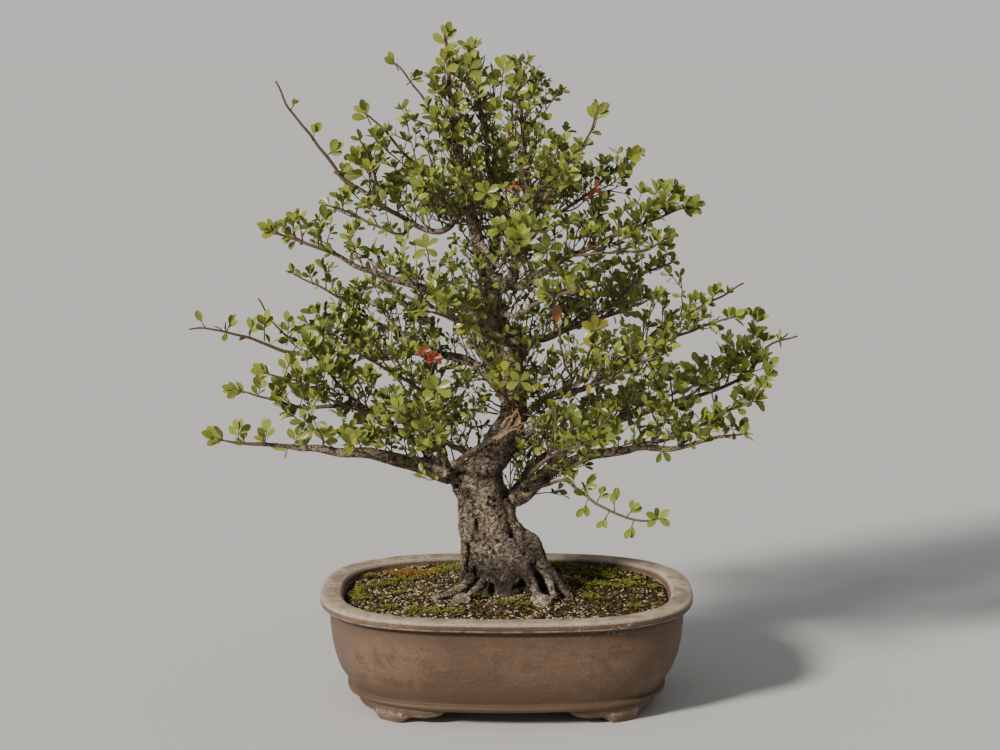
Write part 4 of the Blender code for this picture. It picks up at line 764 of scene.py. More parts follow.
class Finish:
    """A material in the making: its nodes and the Principled shader that they feed."""

    def __init__(self, name, shine, rough=0.5):
        self.material = bpy.data.materials.new(name)
        self.material.use_nodes = True
        self.tree = self.material.node_tree
        self.shader = self.tree.nodes["Principled BSDF"]
        self.shader.inputs["Specular IOR Level"].default_value = shine
        self.shader.inputs["Roughness"].default_value = rough

    def node(self, kind, settings, values, output=0):
        """Adds a node: its settings first, then the numbers or links of its sockets, by place or by name."""
        made = self.tree.nodes.new(kind)
        for key, value in settings.items():
            if key == "stops":
                self.set_stops(made.color_ramp, value)
            else:
                setattr(made, key, value)
        named = values.items() if isinstance(values, dict) else enumerate(values)
        for socket, value in named:
            if isinstance(value, Value):
                self.tree.links.new(value.socket, made.inputs[socket])
            else:
                made.inputs[socket].default_value = value
        return Value(self, made.outputs[output])

    def set_stops(self, ramp, stops):
        while len(ramp.elements) < len(stops):
            ramp.elements.new(0.5)
        for element, (place, colour) in zip(ramp.elements, stops):
            element.position = place
            element.color = (*colour, 1)

    def place(self):
        return self.node("ShaderNodeTexCoord", {}, {}, "Object")

    def uv(self):
        return self.node("ShaderNodeTexCoord", {}, {}, "UV")

    def attribute(self, name, output="Vector"):
        return self.node("ShaderNodeAttribute", {"attribute_name": name}, {}, output)

    def parts(self, vector):
        return [self.node("ShaderNodeSeparateXYZ", {}, [vector], axis) for axis in range(3)]

    def stretched(self, vector, scale):
        return self.node("ShaderNodeMapping", {}, {"Vector": vector, "Scale": scale})

    def distance(self, vector, point):
        return self.node("ShaderNodeVectorMath", {"operation": "DISTANCE"}, [vector, point], "Value")

    def noise(self, vector, scale, detail=3.0, roughness=0.5):
        values = {"Vector": vector, "Scale": scale, "Detail": detail, "Roughness": roughness}
        return self.node("ShaderNodeTexNoise", {}, values)

    def cells(self, vector, scale, feature="F1"):
        return self.node("ShaderNodeTexVoronoi", {"feature": feature}, {"Vector": vector, "Scale": scale})

    def step(self, value, low, high):
        """0 at low and 1 at high, with soft ends; high may be the smaller."""
        values = {"Value": value, "From Min": low, "From Max": high, "To Min": 0.0, "To Max": 1.0}
        return self.node("ShaderNodeMapRange", {"interpolation_type": "SMOOTHSTEP"}, values)

    def mix(self, factor, first, second):
        values = {0: factor, 6: solid(first), 7: solid(second)}
        return self.node("ShaderNodeMix", {"data_type": "RGBA"}, values, 2)

    def patches(self, vector, scale, low, high, detail=3.0, roughness=0.5):
        """Patches of noise: 0 where it is at low and 1 where it is at high."""
        return self.step(self.noise(vector, scale, detail, roughness), low, high)

    def band(self, value, low, full, still, high):
        """1 from full to still, and 0 below low and above high."""
        return self.step(value, low, full) * self.step(value, high, still)

    def spot(self, place, centre, reach, core, sway=None):
        """1 within core of a point seen from in front and 0 beyond reach, in metres; sway bends the rim."""
        apart = self.distance(place, seen(*centre))
        return self.step(apart + sway if sway else apart, reach, core)

    def layers(self, colour, *coats):
        """The colour under coats of others, each a mask with its colour."""
        for mask, coat in coats:
            colour = self.mix(mask, colour, coat)
        return colour

    def finish(self, colour, rough=None, relief=None, depth=0.0):
        """Feeds the shader's sockets and gives the material; depth is how far the relief stands out."""
        fed = {"Base Color": colour, "Roughness": rough}
        if relief:
            values = {"Height": relief, "Distance": depth, "Strength": 1.0}
            fed["Normal"] = self.node("ShaderNodeBump", {}, values)
        for socket, value in fed.items():
            if value:
                self.tree.links.new(value.socket, self.shader.inputs[socket])
        return self.material

def solid(colour):
    """A colour with its alpha, or a link as it is."""
    return colour if isinstance(colour, Value) else (*colour, 1)


def colours():
    return bpy.context.scene.bonsai_colours


def sizes():
    return bpy.context.scene.bonsai_sizes


def bark_finish():
    """Scaly grey-brown bark: plates with dark seams, level wrinkles, pale flecks and lichen,
    with painted glints on its crests and painted shade in its hollows, on the burl and at the trunk's foot.
    """
    c = colours()
    f = Finish("scaly bark", 0.4)
    place = f.place()
    x, _, height = f.parts(place)
    sway = f.node("ShaderNodeTexNoise", {}, {"Vector": place, "Scale": 70, "Detail": 3}, "Color")
    bent = f.node("ShaderNodeVectorMath", {"operation": "MULTIPLY_ADD"}, [sway, (0.012,) * 3, place])
    level = f.stretched(bent, (1, 1, 2.1))
    broad = f.noise(bent, 75, 4)
    grain = f.noise(f.stretched(bent, (1, 1, 1.6)), 270, 7, 0.72)
    fine = f.noise(level, 820, 4, 0.65)
    coarse = f.step(grain, 0.42, 0.56)
    plates = f.cells(bent, 250, "DISTANCE_TO_EDGE")
    seams = f.step(plates, 0.09, 0.02) * f.patches(bent, 110, 0.46, 0.58)
    fissures = f.step(abs(f.noise(level, 120) - 0.5), 0.026, 0.006) * f.step(broad, 0.42, 0.54)
    gouges = f.patches(bent, 180, 0.40, 0.34, 4, 0.6)
    flecks = f.step(fine, 0.53, 0.62) * f.step(grain, 0.46, 0.58)
    lie = f.attribute("relief", "Fac")
    knee = f.spot(place, KNEE, 0.033, 0.022, 0.02 * grain)
    shade = f.step(x + 0.4 * height, 0.062, 0.094) * f.step(height, 0.175, 0.15)
    lichen = f.patches(place, 46, 0.54, 0.66, 4, 0.6) * f.step(grain, 0.40, 0.56)
    dry = f.spot(place, DRY_ROOT, 0.026, 0.014, 0.01 * broad)
    # The bark darker towards the trunk's foot: painted shade under the burl
    damp = f.step(height, 0.152, 0.116) * f.patches(place, 75, 0.28, 0.52)
    damp = damp * f.spot(place, SHADED_FOOT, 0.060, 0.044) * (1 - dry)
    splinters = f.noise(f.stretched(bent, (2, 2, 0.5)), 260, 4)
    wood = f.layers(
        c.torn,
        (f.step(splinters, 0.46, 0.60), c.torn_pale),
        # painted shade in the hollows between the torn fibres
        (f.step(splinters, 0.45, 0.38), c.bark_dark),
    )
    colour = f.layers(
        c.bark_mid,
        # raised bark a little lighter: painted light on the crests
        (f.step(grain + lie * 0.06, 0.38, 0.58), c.bark_light),
        (f.step(broad, 0.56, 0.36) * 0.6, c.bark_mid),
        (f.step(fine, 0.50, 0.36) * 0.5, c.bark_dark),
        # pale flecks on the raised bark: paler scale edges, and painted glints on the crests
        (flecks * f.step(lie, -0.6, 0.4) * 0.85, c.bark_pale),
        (seams * 0.7, c.bark_dark),
        # sunk bark darker: painted shade in the bark's hollows
        (f.step(lie, -0.3, -1.6) * 0.85, c.bark_dark),
        (knee * coarse * 0.7, c.lichen),
        (shade * (1 - knee) * 0.45, c.bark_dark),
        (lichen * 0.55, c.lichen),
        (dry * coarse * 0.5, c.bark_pale),
        # painted shade at the trunk's foot
        (damp * 0.85, c.bark_dark),
        (gouges * 0.85, c.bark_dark),
        (fissures * 0.9, c.bark_dark),
        # painted shade in the crotch of the fork
        (f.spot(place, SHADED_NOOK, 0.030, 0.012) * 0.55, c.bark_dark),
        (f.spot(place, WOUND, 0.0195, 0.0135, 0.006 * grain) * 0.9, wood),
        (f.spot(place, SAWN_END, 0.0062, 0.0048), c.clay_pale),
    )
    relief = grain * 0.9 + broad * 0.4 + fine * 0.45 - fissures * 0.8 - seams * 0.6 - gouges * 0.6
    return f.finish(colour, 0.78 - flecks * 0.22, relief, 0.0032)


def stub_finish():
    """Weathered bare wood: pale where it dried, darker along its cracks."""
    c = colours()
    f = Finish("weathered stub", 0.3)
    place = f.place()
    along = f.node("ShaderNodeVectorRotate", {"rotation_type": "Y_AXIS"}, {"Vector": place, "Angle": 0.52})
    grain = f.noise(f.stretched(along, (0.25, 1, 1)), 900, 4, 0.65)
    stains = f.noise(place, 160)
    colour = f.layers(
        c.bark_mid,
        (f.step(grain, 0.38, 0.64), c.bark_light),
        (f.step(stains, 0.55, 0.38) * 0.5, c.stem_old),
        (f.step(grain, 0.42, 0.33) * 0.8, c.bark_dark),
    )
    return f.finish(colour, 0.6 + 0.3 * grain, grain + stains, 0.0012)


def torn_finish():
    """Torn wood: tan strips, with painted shade in the hollows between their fibres."""
    c = colours()
    f = Finish("torn wood", 0.3)
    fibres = f.noise(f.stretched(f.place(), (1, 1, 0.5)), 620, 5, 0.65)
    colour = f.layers(
        c.torn,
        (f.step(fibres, 0.38, 0.62), c.torn_pale),
        # painted shade in the hollows between the fibres
        (f.step(fibres, 0.47, 0.38) * 0.9, c.bark_dark),
    )
    return f.finish(colour, 0.55 + 0.3 * fibres, fibres, 0.0014)


def twig_finish():
    """Thin bark: red-brown on young outer wood, grey-brown nearer the trunk, with pale scars."""
    c = colours()
    f = Finish("twig bark", 0.3)
    place = f.place()
    grain = f.noise(place, 700, 4)
    age = f.step(f.distance(place, seen(*CROWN_AXIS)) + 0.05 * f.noise(place, 60, 2), 0.26, 0.15)
    scars = f.patches(place, 1500, 0.60, 0.68, 2)
    young = f.mix(f.step(grain, 0.50, 0.75) * 0.5, c.stem, c.stem_old)
    old = f.mix(f.step(grain, 0.40, 0.64), c.bark_mid, c.stem_old)
    colour = f.layers(young, (age, old), (scars * 0.35, c.bark_light))
    return f.finish(colour, 0.5 + 0.3 * grain, grain + scars * 0.4, 0.0005)


def leaf_finish():
    """A leaf's glossy upper side with its rib, side veins and pale rim, partly a painted highlight, and its
    duller underside.
    """
    c = colours()
    f = Finish("barberry leaf", 0.55)
    lit_and_random_tone, yellow, red = f.parts(f.attribute("mark"))
    along, across, _ = f.parts(f.uv())
    under = f.step(across, 1.4, 1.6)
    aside = abs(across - 2 * under - 0.5) * 2
    rib = f.step(aside, 0.12, 0.02)
    rim = f.step(aside, 0.80, 0.97)
    veins = f.step((along * 44 - aside * 9).sine(), 0.72, 0.98) * f.step(aside, 0.92, 0.70)
    mottle = f.noise(f.place(), 520)
    hot = f.mix(f.step(along + mottle * 0.5 + red * 1.2, 1.3, 1.75), c.leaf_orange, c.leaf_red)
    colour = f.layers(
        c.leaf_dark,
        # painted light: leaves lighter towards the crown's outside and darker inside it, with random tone
        (lit_and_random_tone, c.leaf_light),
        (f.step(mottle, 0.35, 0.7) * 0.35, c.leaf_dark),
        (yellow, c.leaf_yellow),
        (red, hot),
        (under * (1 - red) * 0.7, c.leaf_under),
        (veins * 0.22, c.leaf_under),
        (rib * 0.45, c.leaf_under),
        # pale rim: a paler leaf margin, partly a painted highlight along it
        (rim * 0.5, c.leaf_under),
    )
    rough = 0.22 + 0.2 * mottle + 0.3 * under
    return f.finish(colour, rough, veins * 0.5 + rib * 0.8 + mottle * 0.4, 0.00025)


def clay_finish():
    """Unglazed stoneware: warm body darker to its right end, weathered lip, worn edges, specks, pits and
    lime, with painted highlights on the lip's edges and painted shadow under the lip.

    Heights z and places x are in metres; the lip's top is at 0.1023 and its underside at 0.0928.
    """
    c = colours()
    f = Finish("unglazed stoneware", 0.35)
    place = f.place()
    x, _, z = f.parts(place)
    wear = f.attribute("wear", "Fac")
    broad = f.noise(place, 13, 4, 0.55)
    blotch = f.noise(place, 55, 5, 0.6)
    grain = f.noise(place, 520, 5, 0.62)
    wiped = f.noise(f.stretched(place, (1, 1, 9)), 34)
    runs = f.patches(f.stretched(place, (5, 5, 0.5)), 26, 0.56, 0.72, 4, 0.6)
    # the body darker towards its right end
    darker_to_right_end = f.step(x + 0.06 * broad, -0.02, 0.17)
    middle = f.step(abs(x + 0.03 * broad - 0.02), 0.105, 0.03) * f.step(z, 0.012, 0.03)
    end = f.step(abs(x - POT_CENTRE.x) + 0.002 * wiped, 0.1325, 0.1350) * f.step(x, 0.0, -0.05)
    lip = f.step(z + 0.0008 * blotch, 0.1008, 0.1019)
    weathered = f.layers(
        c.lip_dark,
        (f.step(blotch + 0.3 * grain, 0.50, 0.76), c.lip),
        (f.patches(place, 230, 0.46, 0.34, 4, 0.7) * 0.6, c.clay_dark),
    )
    # painted highlight lines along the lip's rounded edges and on the small ridge below its face
    edge = f.band(z, 0.0988, 0.1003, 0.1013, 0.1022) * f.step(grain, 0.30, 0.50)
    bead_highlight = f.step(abs(z - 0.0949), 0.0008, 0.0002) * f.patches(place, 90, 0.40, 0.56)
    worn = f.step(wear + 0.2 * blotch, 0.30, 0.58) * f.step(grain, 0.34, 0.52)
    under_lip = f.band(z, 0.0840, 0.0900, 0.0915, 0.0940)
    crusts = f.patches(f.stretched(place, (1, 1, 3)), 130, 0.50, 0.60, 5, 0.7)
    lime = under_lip * crusts * f.step(x, 0.01, 0.05)
    # painted shadow below the lip, and a band darker low on the body
    shadow_under_lip_and_low_band = f.band(z, 0.0700, 0.0900, 0.0915, 0.0960) + f.band(z, 0.009, 0.016, 0.0200, 0.0600)
    chip = f.spot(place, FOOT_CHIP, 0.018, 0.014, 0.012 * blotch)
    crack = f.step(abs(f.noise(place, 45, 4, 0.6) - 0.5), 0.012, 0.004) * f.step(z, 0.0860, 0.0890)
    crack = crack * f.step(x, 0.06, 0.09) * f.step(x, 0.13, 0.11)
    # painted shade in the recess under the lip
    recess_shade = f.band(z, 0.0868, 0.0905, 0.0926, 0.0936)
    specks = f.step(f.cells(place, 240), 0.085, 0.040) * f.patches(place, 40, 0.54, 0.66)
    burnt = f.patches(place, 26, 0.52, 0.62, 5, 0.6) * f.step(z, 0.050, 0.018)
    pits = f.step(f.cells(f.stretched(place, (1.3, 1.1, 1)), 300), 0.13, 0.06) * f.step(blotch, 0.44, 0.56)
    colour = f.layers(
        c.clay_dark,
        (f.step(broad, 0.34, 0.58), c.clay),
        (runs * 0.3, c.clay_dark),
        (f.step(blotch, 0.54, 0.38) * 0.7, c.clay_dark),
        (f.step(wiped, 0.55, 0.70) * 0.07, c.clay_pale),
        (darker_to_right_end * 0.26, c.clay_dark),
        (middle * 0.4, c.clay_dark),
        (end * 0.55, c.clay_end),
        (f.step(grain, 0.54, 0.72) * 0.16, c.clay_pale),
        (f.step(grain, 0.46, 0.34) * 0.3, c.clay_dark),
        (lip * 0.85, weathered),
        (edge * 0.55 + bead_highlight * 0.4, c.clay_pale),
        (worn * 0.65, c.clay_pale),
        (lime * 0.5, c.clay_pale),
        (shadow_under_lip_and_low_band * (0.3 + 0.5 * blotch), c.clay_dark),
        (chip * 0.6, c.clay_dark),
        (crack * 0.8, c.clay_pale),
        (recess_shade * (0.4 + 0.4 * blotch), c.bark_dark),
        (specks * 0.5, c.clay_pale),
        (burnt * 0.85, c.clay_dark),
        (pits * 0.75, c.bark_dark),
    )
    relief = grain * 0.3 + wiped * 0.5 + blotch * 0.45 + lime * 0.6 - pits * 0.8
    return f.finish(colour, 0.50 + 0.3 * blotch + 0.1 * lip, relief, 0.0006)


def soil_finish():
    """Damp earth with fine crumbs."""
    c = colours()
    f = Finish("damp soil", 0.2)
    place = f.place()
    crumbs = f.noise(place, 480, 5, 0.7)
    pale = f.step(f.cells(place, 380), 0.20, 0.10)
    colour = f.layers(c.soil, (f.step(crumbs, 0.42, 0.66), c.grain_brown), (pale, c.grain_pale))
    return f.finish(colour, 0.7 + 0.3 * crumbs, crumbs, 0.0018)


def grain_finish():
    """Grains of several kinds, told apart by their mark: damp lava, fired clay and dry pale ones."""
    c = colours()
    f = Finish("soil grains", 0.3)
    kind, tint, _ = f.parts(f.attribute("mark"))
    crumbs = f.noise(f.place(), 900, 4)
    stops = ((0.0, c.grain_dark), (0.52, c.grain_dark), (0.58, c.grain_brown), (0.72, c.grain_brown),
             (0.78, c.grain_pale), (0.98, c.stone))
    ramp = f.node("ShaderNodeValToRGB", {"stops": stops}, [kind])
    colour = f.layers(ramp, (f.step(crumbs, 0.60, 0.36) * 0.5, c.grain_dark), (tint * 0.22, c.grain_brown))
    return f.finish(colour, 0.65 + 0.3 * crumbs, crumbs, 0.0004)


def moss_finish():
    """Moss from its dark foot, darkened with painted shade, to its yellow-green tips."""
    c = colours()
    f = Finish("moss", 0.2)
    tint, rust, _ = f.parts(f.attribute("mark"))
    rise = f.parts(f.uv())[0]
    specks = f.noise(f.place(), 1300, 2)
    colour = f.layers(
        c.moss_dark,
        # lighter towards the tips: yellow-green tips, and painted shade at the moss's foot
        (f.step(rise + specks * 0.5, 0.25, 1.0), c.moss_light),
        (f.step(tint, 0.45, 1.0) * 0.8, c.moss_dark),
        (rust * (0.4 + 0.6 * rise), c.moss_rust),
    )
    return f.finish(colour, 0.75 + 0.2 * specks, specks, 0.0003)


def stone_finish():
    """A pale stone with earth in its hollows and painted shade at its base."""
    c = colours()
    f = Finish("pale stone", 0.3)
    place = f.place()
    grain = f.noise(place, 650, 6, 0.6)
    stain = f.noise(place, 150, 4)
    # darker towards the stone's foot in the soil: painted shade
    low = f.step(f.parts(place)[2] + 0.003 * stain, 0.1035, 0.0985)
    colour = f.layers(
        c.grain_brown,
        (f.step(grain, 0.34, 0.56), c.stone),
        (f.step(stain, 0.60, 0.42) * 0.8, c.bark_mid),
        (f.patches(place, 420, 0.42, 0.34) * 0.7, c.soil),
        (low * 0.75, c.soil),
    )
    return f.finish(colour, 0.6 + 0.3 * stain, grain + stain, 0.0006)


def screen_finish():
    """The black plastic net over a drain hole, dusty from the soil."""
    f = Finish("drain net", 0.4)
    dust = f.noise(f.place(), 320, 4)
    colour = f.mix(f.step(dust, 0.45, 0.7) * 0.4, (0.012, 0.012, 0.013), colours().grain_brown)
    return f.finish(colour, 0.45 + 0.3 * dust, dust, 0.0001)


def floor_finish():
    f = Finish("studio floor", 0.0, 0.9)
    tone = f.noise(f.place(), 3)
    return f.finish(f.mix(tone, [0.985 * t for t in FLOOR_TONE], [1.015 * t for t in FLOOR_TONE]))


def seen(across, up, back):
    """The point, in metres, that lies `back` behind the middle plane and looks from in front to be there."""
    rise = up - EYE_HEIGHT_AIM
    cosine, sine = math.cos(EYE_PITCH), math.sin(EYE_PITCH)
    reach = EYE_DISTANCE + back * cosine
    height = (rise * reach - back * sine * EYE_DISTANCE) / (cosine * EYE_DISTANCE + rise * sine)
    x = across * (reach - height * sine) / EYE_DISTANCE
    return Vector((x - MIDDLE_ACROSS, back - MIDDLE_BACK, EYE_HEIGHT_AIM + height)) * MM


def deselect():
    if bpy.context.mode != "OBJECT":
        bpy.ops.object.mode_set(mode="OBJECT")
    bpy.ops.object.select_all(action="DESELECT")


def choose(obj, *others):
    """Selects the objects alone, with the first one active."""
    deselect()
    for each in (obj, *others):
        each.select_set(True)
    bpy.context.view_layer.objects.active = obj
    return obj


def new_object(name, mesh):
    obj = bpy.data.objects.new(name, mesh)
    bpy.context.scene.collection.objects.link(obj)
    return choose(obj)


def from_bmesh(name, bm):
    mesh = bpy.data.meshes.new(name)
    bm.to_mesh(mesh)
    bm.free()
    return new_object(name, mesh)


def primitive(kind, **settings):
    """One of Blender's own shapes, selected and active."""
    deselect()
    getattr(bpy.ops.mesh, f"primitive_{kind}_add")(**settings)
    return bpy.context.active_object


def weld(obj, apart):
    """Joins points that lie closer together than `apart`, in metres, and turns the faces outwards."""
    choose(obj)
    bpy.ops.object.mode_set(mode="EDIT")
    bpy.ops.mesh.select_all(action="SELECT")
    bpy.ops.mesh.remove_doubles(threshold=apart)
    bpy.ops.mesh.normals_make_consistent(inside=False)
    bpy.ops.object.mode_set(mode="OBJECT")
    return obj


def join_rings(bm, rings):
    """The side faces between rings of points, each ring joined to the next."""
    for low, high in zip(rings, rings[1:]):
        for i in range(len(low)):
            j = (i + 1) % len(low)
            bm.faces.new((low[i], low[j], high[j], high[i]))


def modify(obj, kind, **settings):
    """Adds a modifier to the object and applies it."""
    choose(obj)
    modifier = obj.modifiers.new(kind.lower(), kind)
    for key, value in settings.items():
        setattr(modifier, key, value)
    bpy.ops.object.modifier_apply(modifier=modifier.name)


def keep(obj, name, finish, slot, *nodes):
    """Names a finished piece, gives it its material and ties it to the frame in place of the CAD nodes."""
    choose(obj)
    bpy.ops.object.transform_apply(location=True, rotation=True, scale=True)
    obj.name = name
    obj.data.name = name
    obj.data.materials.clear()
    obj.data.materials.append(finish)
    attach(obj, "root")
    if nodes:
        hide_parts(*nodes)
    return obj


def smoothed(rows, step):
    """Rows along a smooth line through the given ones, about `step` apart in their first three numbers."""
    rows = np.array(rows, float)
    ends = np.vstack([2 * rows[0] - rows[1], rows, 2 * rows[-1] - rows[-2]])
    line = []
    for a, b, c, d in zip(ends, ends[1:], ends[2:], ends[3:]):
        count = max(1, round(float(np.linalg.norm((c - b)[:3])) / step))
        for i in range(count):
            t = i / count
            line.append(0.5 * (2 * b + (c - a) * t + (2 * a - 5 * b + 4 * c - d) * t**2
                               + (3 * b - a - 3 * c + d) * t**3))
    line.append(rows[-1])
    return line


def smooth_line(knots, step):
    """Points about `step` apart along a smooth line through the knots."""
    return [Vector(point) for point in smoothed(knots, step)]


class Course:
    """The middle line of a limb or twig, with a radius at each of its points, in metres."""

    def __init__(self, points, first, last, taper=TAPER):
        self.points = points
        self.reach = [0.0]
        for a, b in zip(points, points[1:]):
            self.reach.append(self.reach[-1] + (b - a).length)
        self.length = self.reach[-1]
        self.radii = [first + (last - first) * (r / self.length) ** taper for r in self.reach]

    def at(self, share):
        """The point at a share of the length, the way that the course runs there, and its radius."""
        place = min(max(share, 0.0), 0.9999) * self.length
        i = next(k for k, r in enumerate(self.reach) if r > place) - 1
        a, b = self.points[i], self.points[i + 1]
        t = (place - self.reach[i]) / (self.reach[i + 1] - self.reach[i])
        return a.lerp(b, t), (b - a).normalized(), self.radii[i] * (1 - t) + self.radii[i + 1] * t

    def split(self, radius):
        """How many points come before the stretch that is thinner than the radius."""
        thin = next((i for i, r in enumerate(self.radii) if r < radius), len(self.radii))
        return max(0, min(thin, len(self.points) - 1))


def drift(point):
    """A vector that changes smoothly from place to place, the same in every run."""
    return Vector([noise.noise(point + apart) for apart in DRIFT_APART])


def crooked(line, sway, length):
    """The line bent to and fro by up to `sway`, with bends about `length` apart, except at its start."""
    bent = []
    for i, point in enumerate(line):
        free = min(1.0, i / 4)
        bent.append(point + drift(point / length) * (sway * free))
    return bent


def limb_courses():
    """Each limb's name with its course and its row."""
    courses = {"trunk": Course([seen(*row[:3]) for row in TRUNK], 1.0, 1.0)}
    for limb in LIMBS:
        start = courses[limb.parent].at(limb.share)[0]
        line = smooth_line([start] + [seen(*point) for point in limb.points], LIMB_STEP * MM)
        line = crooked(line, LIMB_SWAY * MM, LIMB_BEND * MM)
        courses[limb.name] = Course(line, limb.first * MM, limb.last * MM)
    return {limb.name: (courses[limb.name], limb) for limb in LIMBS}


def tubes(name, courses, sides):
    """Round tubes along the courses, as one mesh made from a curve whose bevel follows the radii."""
    curve = bpy.data.curves.new(name, "CURVE")
    curve.dimensions = "3D"
    curve.bevel_depth = 1.0
    curve.bevel_resolution = sides
    curve.use_fill_caps = True
    for points, radii in courses:
        spline = curve.splines.new("POLY")
        spline.points.add(len(points) - 1)
        for point, place, radius in zip(spline.points, points, radii):
            point.co = (*place, 1.0)
            point.radius = radius
    obj = new_object(name, curve)
    bpy.ops.object.convert(target="MESH")
    return weld(obj, 1e-7)


def trunk_form():
    """The trunk as a loft through its sections, with ridges that run up it."""
    bm = bmesh.new()
    rings = []
    for across, up, back, half_width, half_depth in smoothed(TRUNK, TRUNK_STEP):
        centre = seen(across, up, back)
        ring = []
        for i in range(TRUNK_SIDES):
            angle = math.tau * i / TRUNK_SIDES
            way = Vector((math.cos(angle), math.sin(angle), 0))
            swell = sum(
                high * noise.noise(way * close + UP * up / tall) for high, close, tall in TRUNK_RIDGES)
            x = (half_width + swell) * way.x
            y = (half_depth + swell) * way.y
            ring.append(bm.verts.new(centre + Vector((x, y, 0)) * MM))
        rings.append(ring)
    join_rings(bm, rings)
    bm.faces.new(list(reversed(rings[0])))
    bm.faces.new(rings[-1])
    return from_bmesh("trunk", bm)


def root_courses():
    """The surface roots, from inside the trunk out over the soil and down into it."""
    middle = seen(*ROOT_LEVEL)
    for bearing, length, radius, bends_to in ROOTS:
        path = []
        for share, drop in ROOT_COURSE:
            angle = math.radians(bearing + (bends_to - bearing) * max(0.0, share - 0.5))
            reach = length * share
            way = Vector((math.cos(angle) * reach, math.sin(angle) * reach * ROOT_OVAL, -drop))
            path.append([*(middle + way * MM), radius * (ROOT_FLARE - ROOT_THINNING * share) * MM])
        line = smoothed(path, STRAND_STEP * MM)
        yield [Vector(point[:3]) for point in line], [point[3] for point in line]


def strand_course(first, last, points, step):
    """The points and radii of a strand that stands out of the trunk."""
    line = smooth_line([seen(*point) for point in points], step)
    course = Course(crooked(line, STRAND_SWAY * MM, STRAND_BEND * MM), first * MM, last * MM, 1.0)
    return course.points, course.radii


def burl_form():
    """The round swelling on the trunk's front."""
    middle, half = BURL
    burl = primitive("uv_sphere", segments=32, ring_count=16, radius=MM, location=seen(*middle))
    bpy.ops.transform.resize(value=half)
    bpy.ops.object.transform_apply(location=True, scale=True)
    return burl


def bark_relief(point):
    """How far the bark stands out at a point in millimetres, about -1 to 1: knobs, wrinkles and pits."""
    near_axis = math.hypot(point.x, point.y)
    stout = min(1.0, max(0.22, (66 - near_axis) / 30)) * min(1.0, max(0.25, (290 - point.z) / 80))
    bent = point + 5 * drift(point / STRAND_BEND)
    level = Vector((bent.x / WRINKLE_LENGTH, bent.y / WRINKLE_LENGTH, bent.z / WRINKLE_HEIGHT))
    nearest, second = noise.voronoi(Vector((bent.x, bent.y, 1.15 * bent.z)) / FLAKE_SIZE)[0][:2]
    knobs = noise.fractal(bent / KNOB_SIZE, 0.9, 2.1, 2)
    wrinkles = 1 - 3.4 * abs(noise.noise(level))
    flakes = min(0.3, second - nearest) * 3.0 - 0.5
    crumbs = noise.fractal(bent / CRUMB_SIZE, 0.8, 2.0, 2)
    pits = max(0.0, noise.noise(bent / PIT_SIZE + PITS_APART) - 0.30) * 4.5
    relief = stout * (0.8 * knobs + 0.30 * wrinkles + 0.46 * flakes + 0.40 * crumbs - pits)
    for across, up, back, half_width, half_height, deep in GOUGES:
        aside = point - seen(across, up, back) / MM
        apart = (aside.x / half_width) ** 2 + (aside.y / GOUGE_HALF_DEPTH) ** 2 + (aside.z / half_height) ** 2
        relief -= deep * max(0.0, 1 - apart)
    return relief


def build_wood():
    """Trunk, roots, strands and thick limbs, fused into one skin and then broken up like bark."""
    wood = []
    for name, (course, _) in limb_courses().items():
        count = course.split(THICK * MM)
        if count > 1 and name != "front_stub":
            wood.append((course.points[:count + 1], course.radii[:count + 1]))
    strands = [strand_course(*row, STRAND_STEP * MM) for row in STRANDS]
    limbs = tubes("limbs", wood + list(root_courses()) + strands, 4)
    skin = choose(trunk_form(), limbs, burl_form())
    bpy.ops.object.join()
    modify(skin, "REMESH", mode="VOXEL", voxel_size=sizes().bark_voxel, use_smooth_shade=True)
    modify(skin, "SMOOTH", factor=0.5, iterations=4)
    depth = sizes().bark_depth
    mesh = skin.data
    normals = [vertex.normal.copy() for vertex in mesh.vertices]
    reliefs = [bark_relief(vertex.co / MM) for vertex in mesh.vertices]
    for vertex, normal, relief in zip(mesh.vertices, normals, reliefs):
        vertex.co += normal * (depth * relief)
    mesh.attributes.new("relief", "FLOAT", "POINT").data.foreach_set("value", reliefs)
    share = BARK_TRIANGLES / (2 * len(mesh.polygons))
    modify(skin, "DECIMATE", ratio=min(1.0, share))
    mesh.shade_smooth()
    keep(skin, "trunk_and_limb_bark", bark_finish(), "bark", "trunk_and_limbs")
    build_stub()
    build_splinters()


def build_stub():
    """The broken stub in front of the fork: a tube with a swollen free end, knots and split bark."""
    points, radii = strand_course(*STUB, STUB_STEP * MM)
    swollen = []
    for i, radius in enumerate(radii):
        end = max(0.0, 1 - 4.5 * (1 - i / len(radii)))
        swollen.append(radius * (1 + 0.5 * end - 0.25 * noise.noise(Vector((i / 5, 0, 0)))))
    stub = tubes("stub", [(points, swollen)], 3)
    modify(stub, "SUBSURF", levels=1, render_levels=1)
    normals = [vertex.normal.copy() for vertex in stub.data.vertices]
    for vertex, normal in zip(stub.data.vertices, normals):
        place = vertex.co / MM
        rough = noise.fractal(Vector((place.x * 0.5, place.y, place.z)) / 2.2, 0.8, 2.0, 3)
        vertex.co += normal * (0.3 * rough * MM)
    stub.data.shade_smooth()
    keep(stub, "broken_stub", stub_finish(), "bark", "trunk_and_limbs")


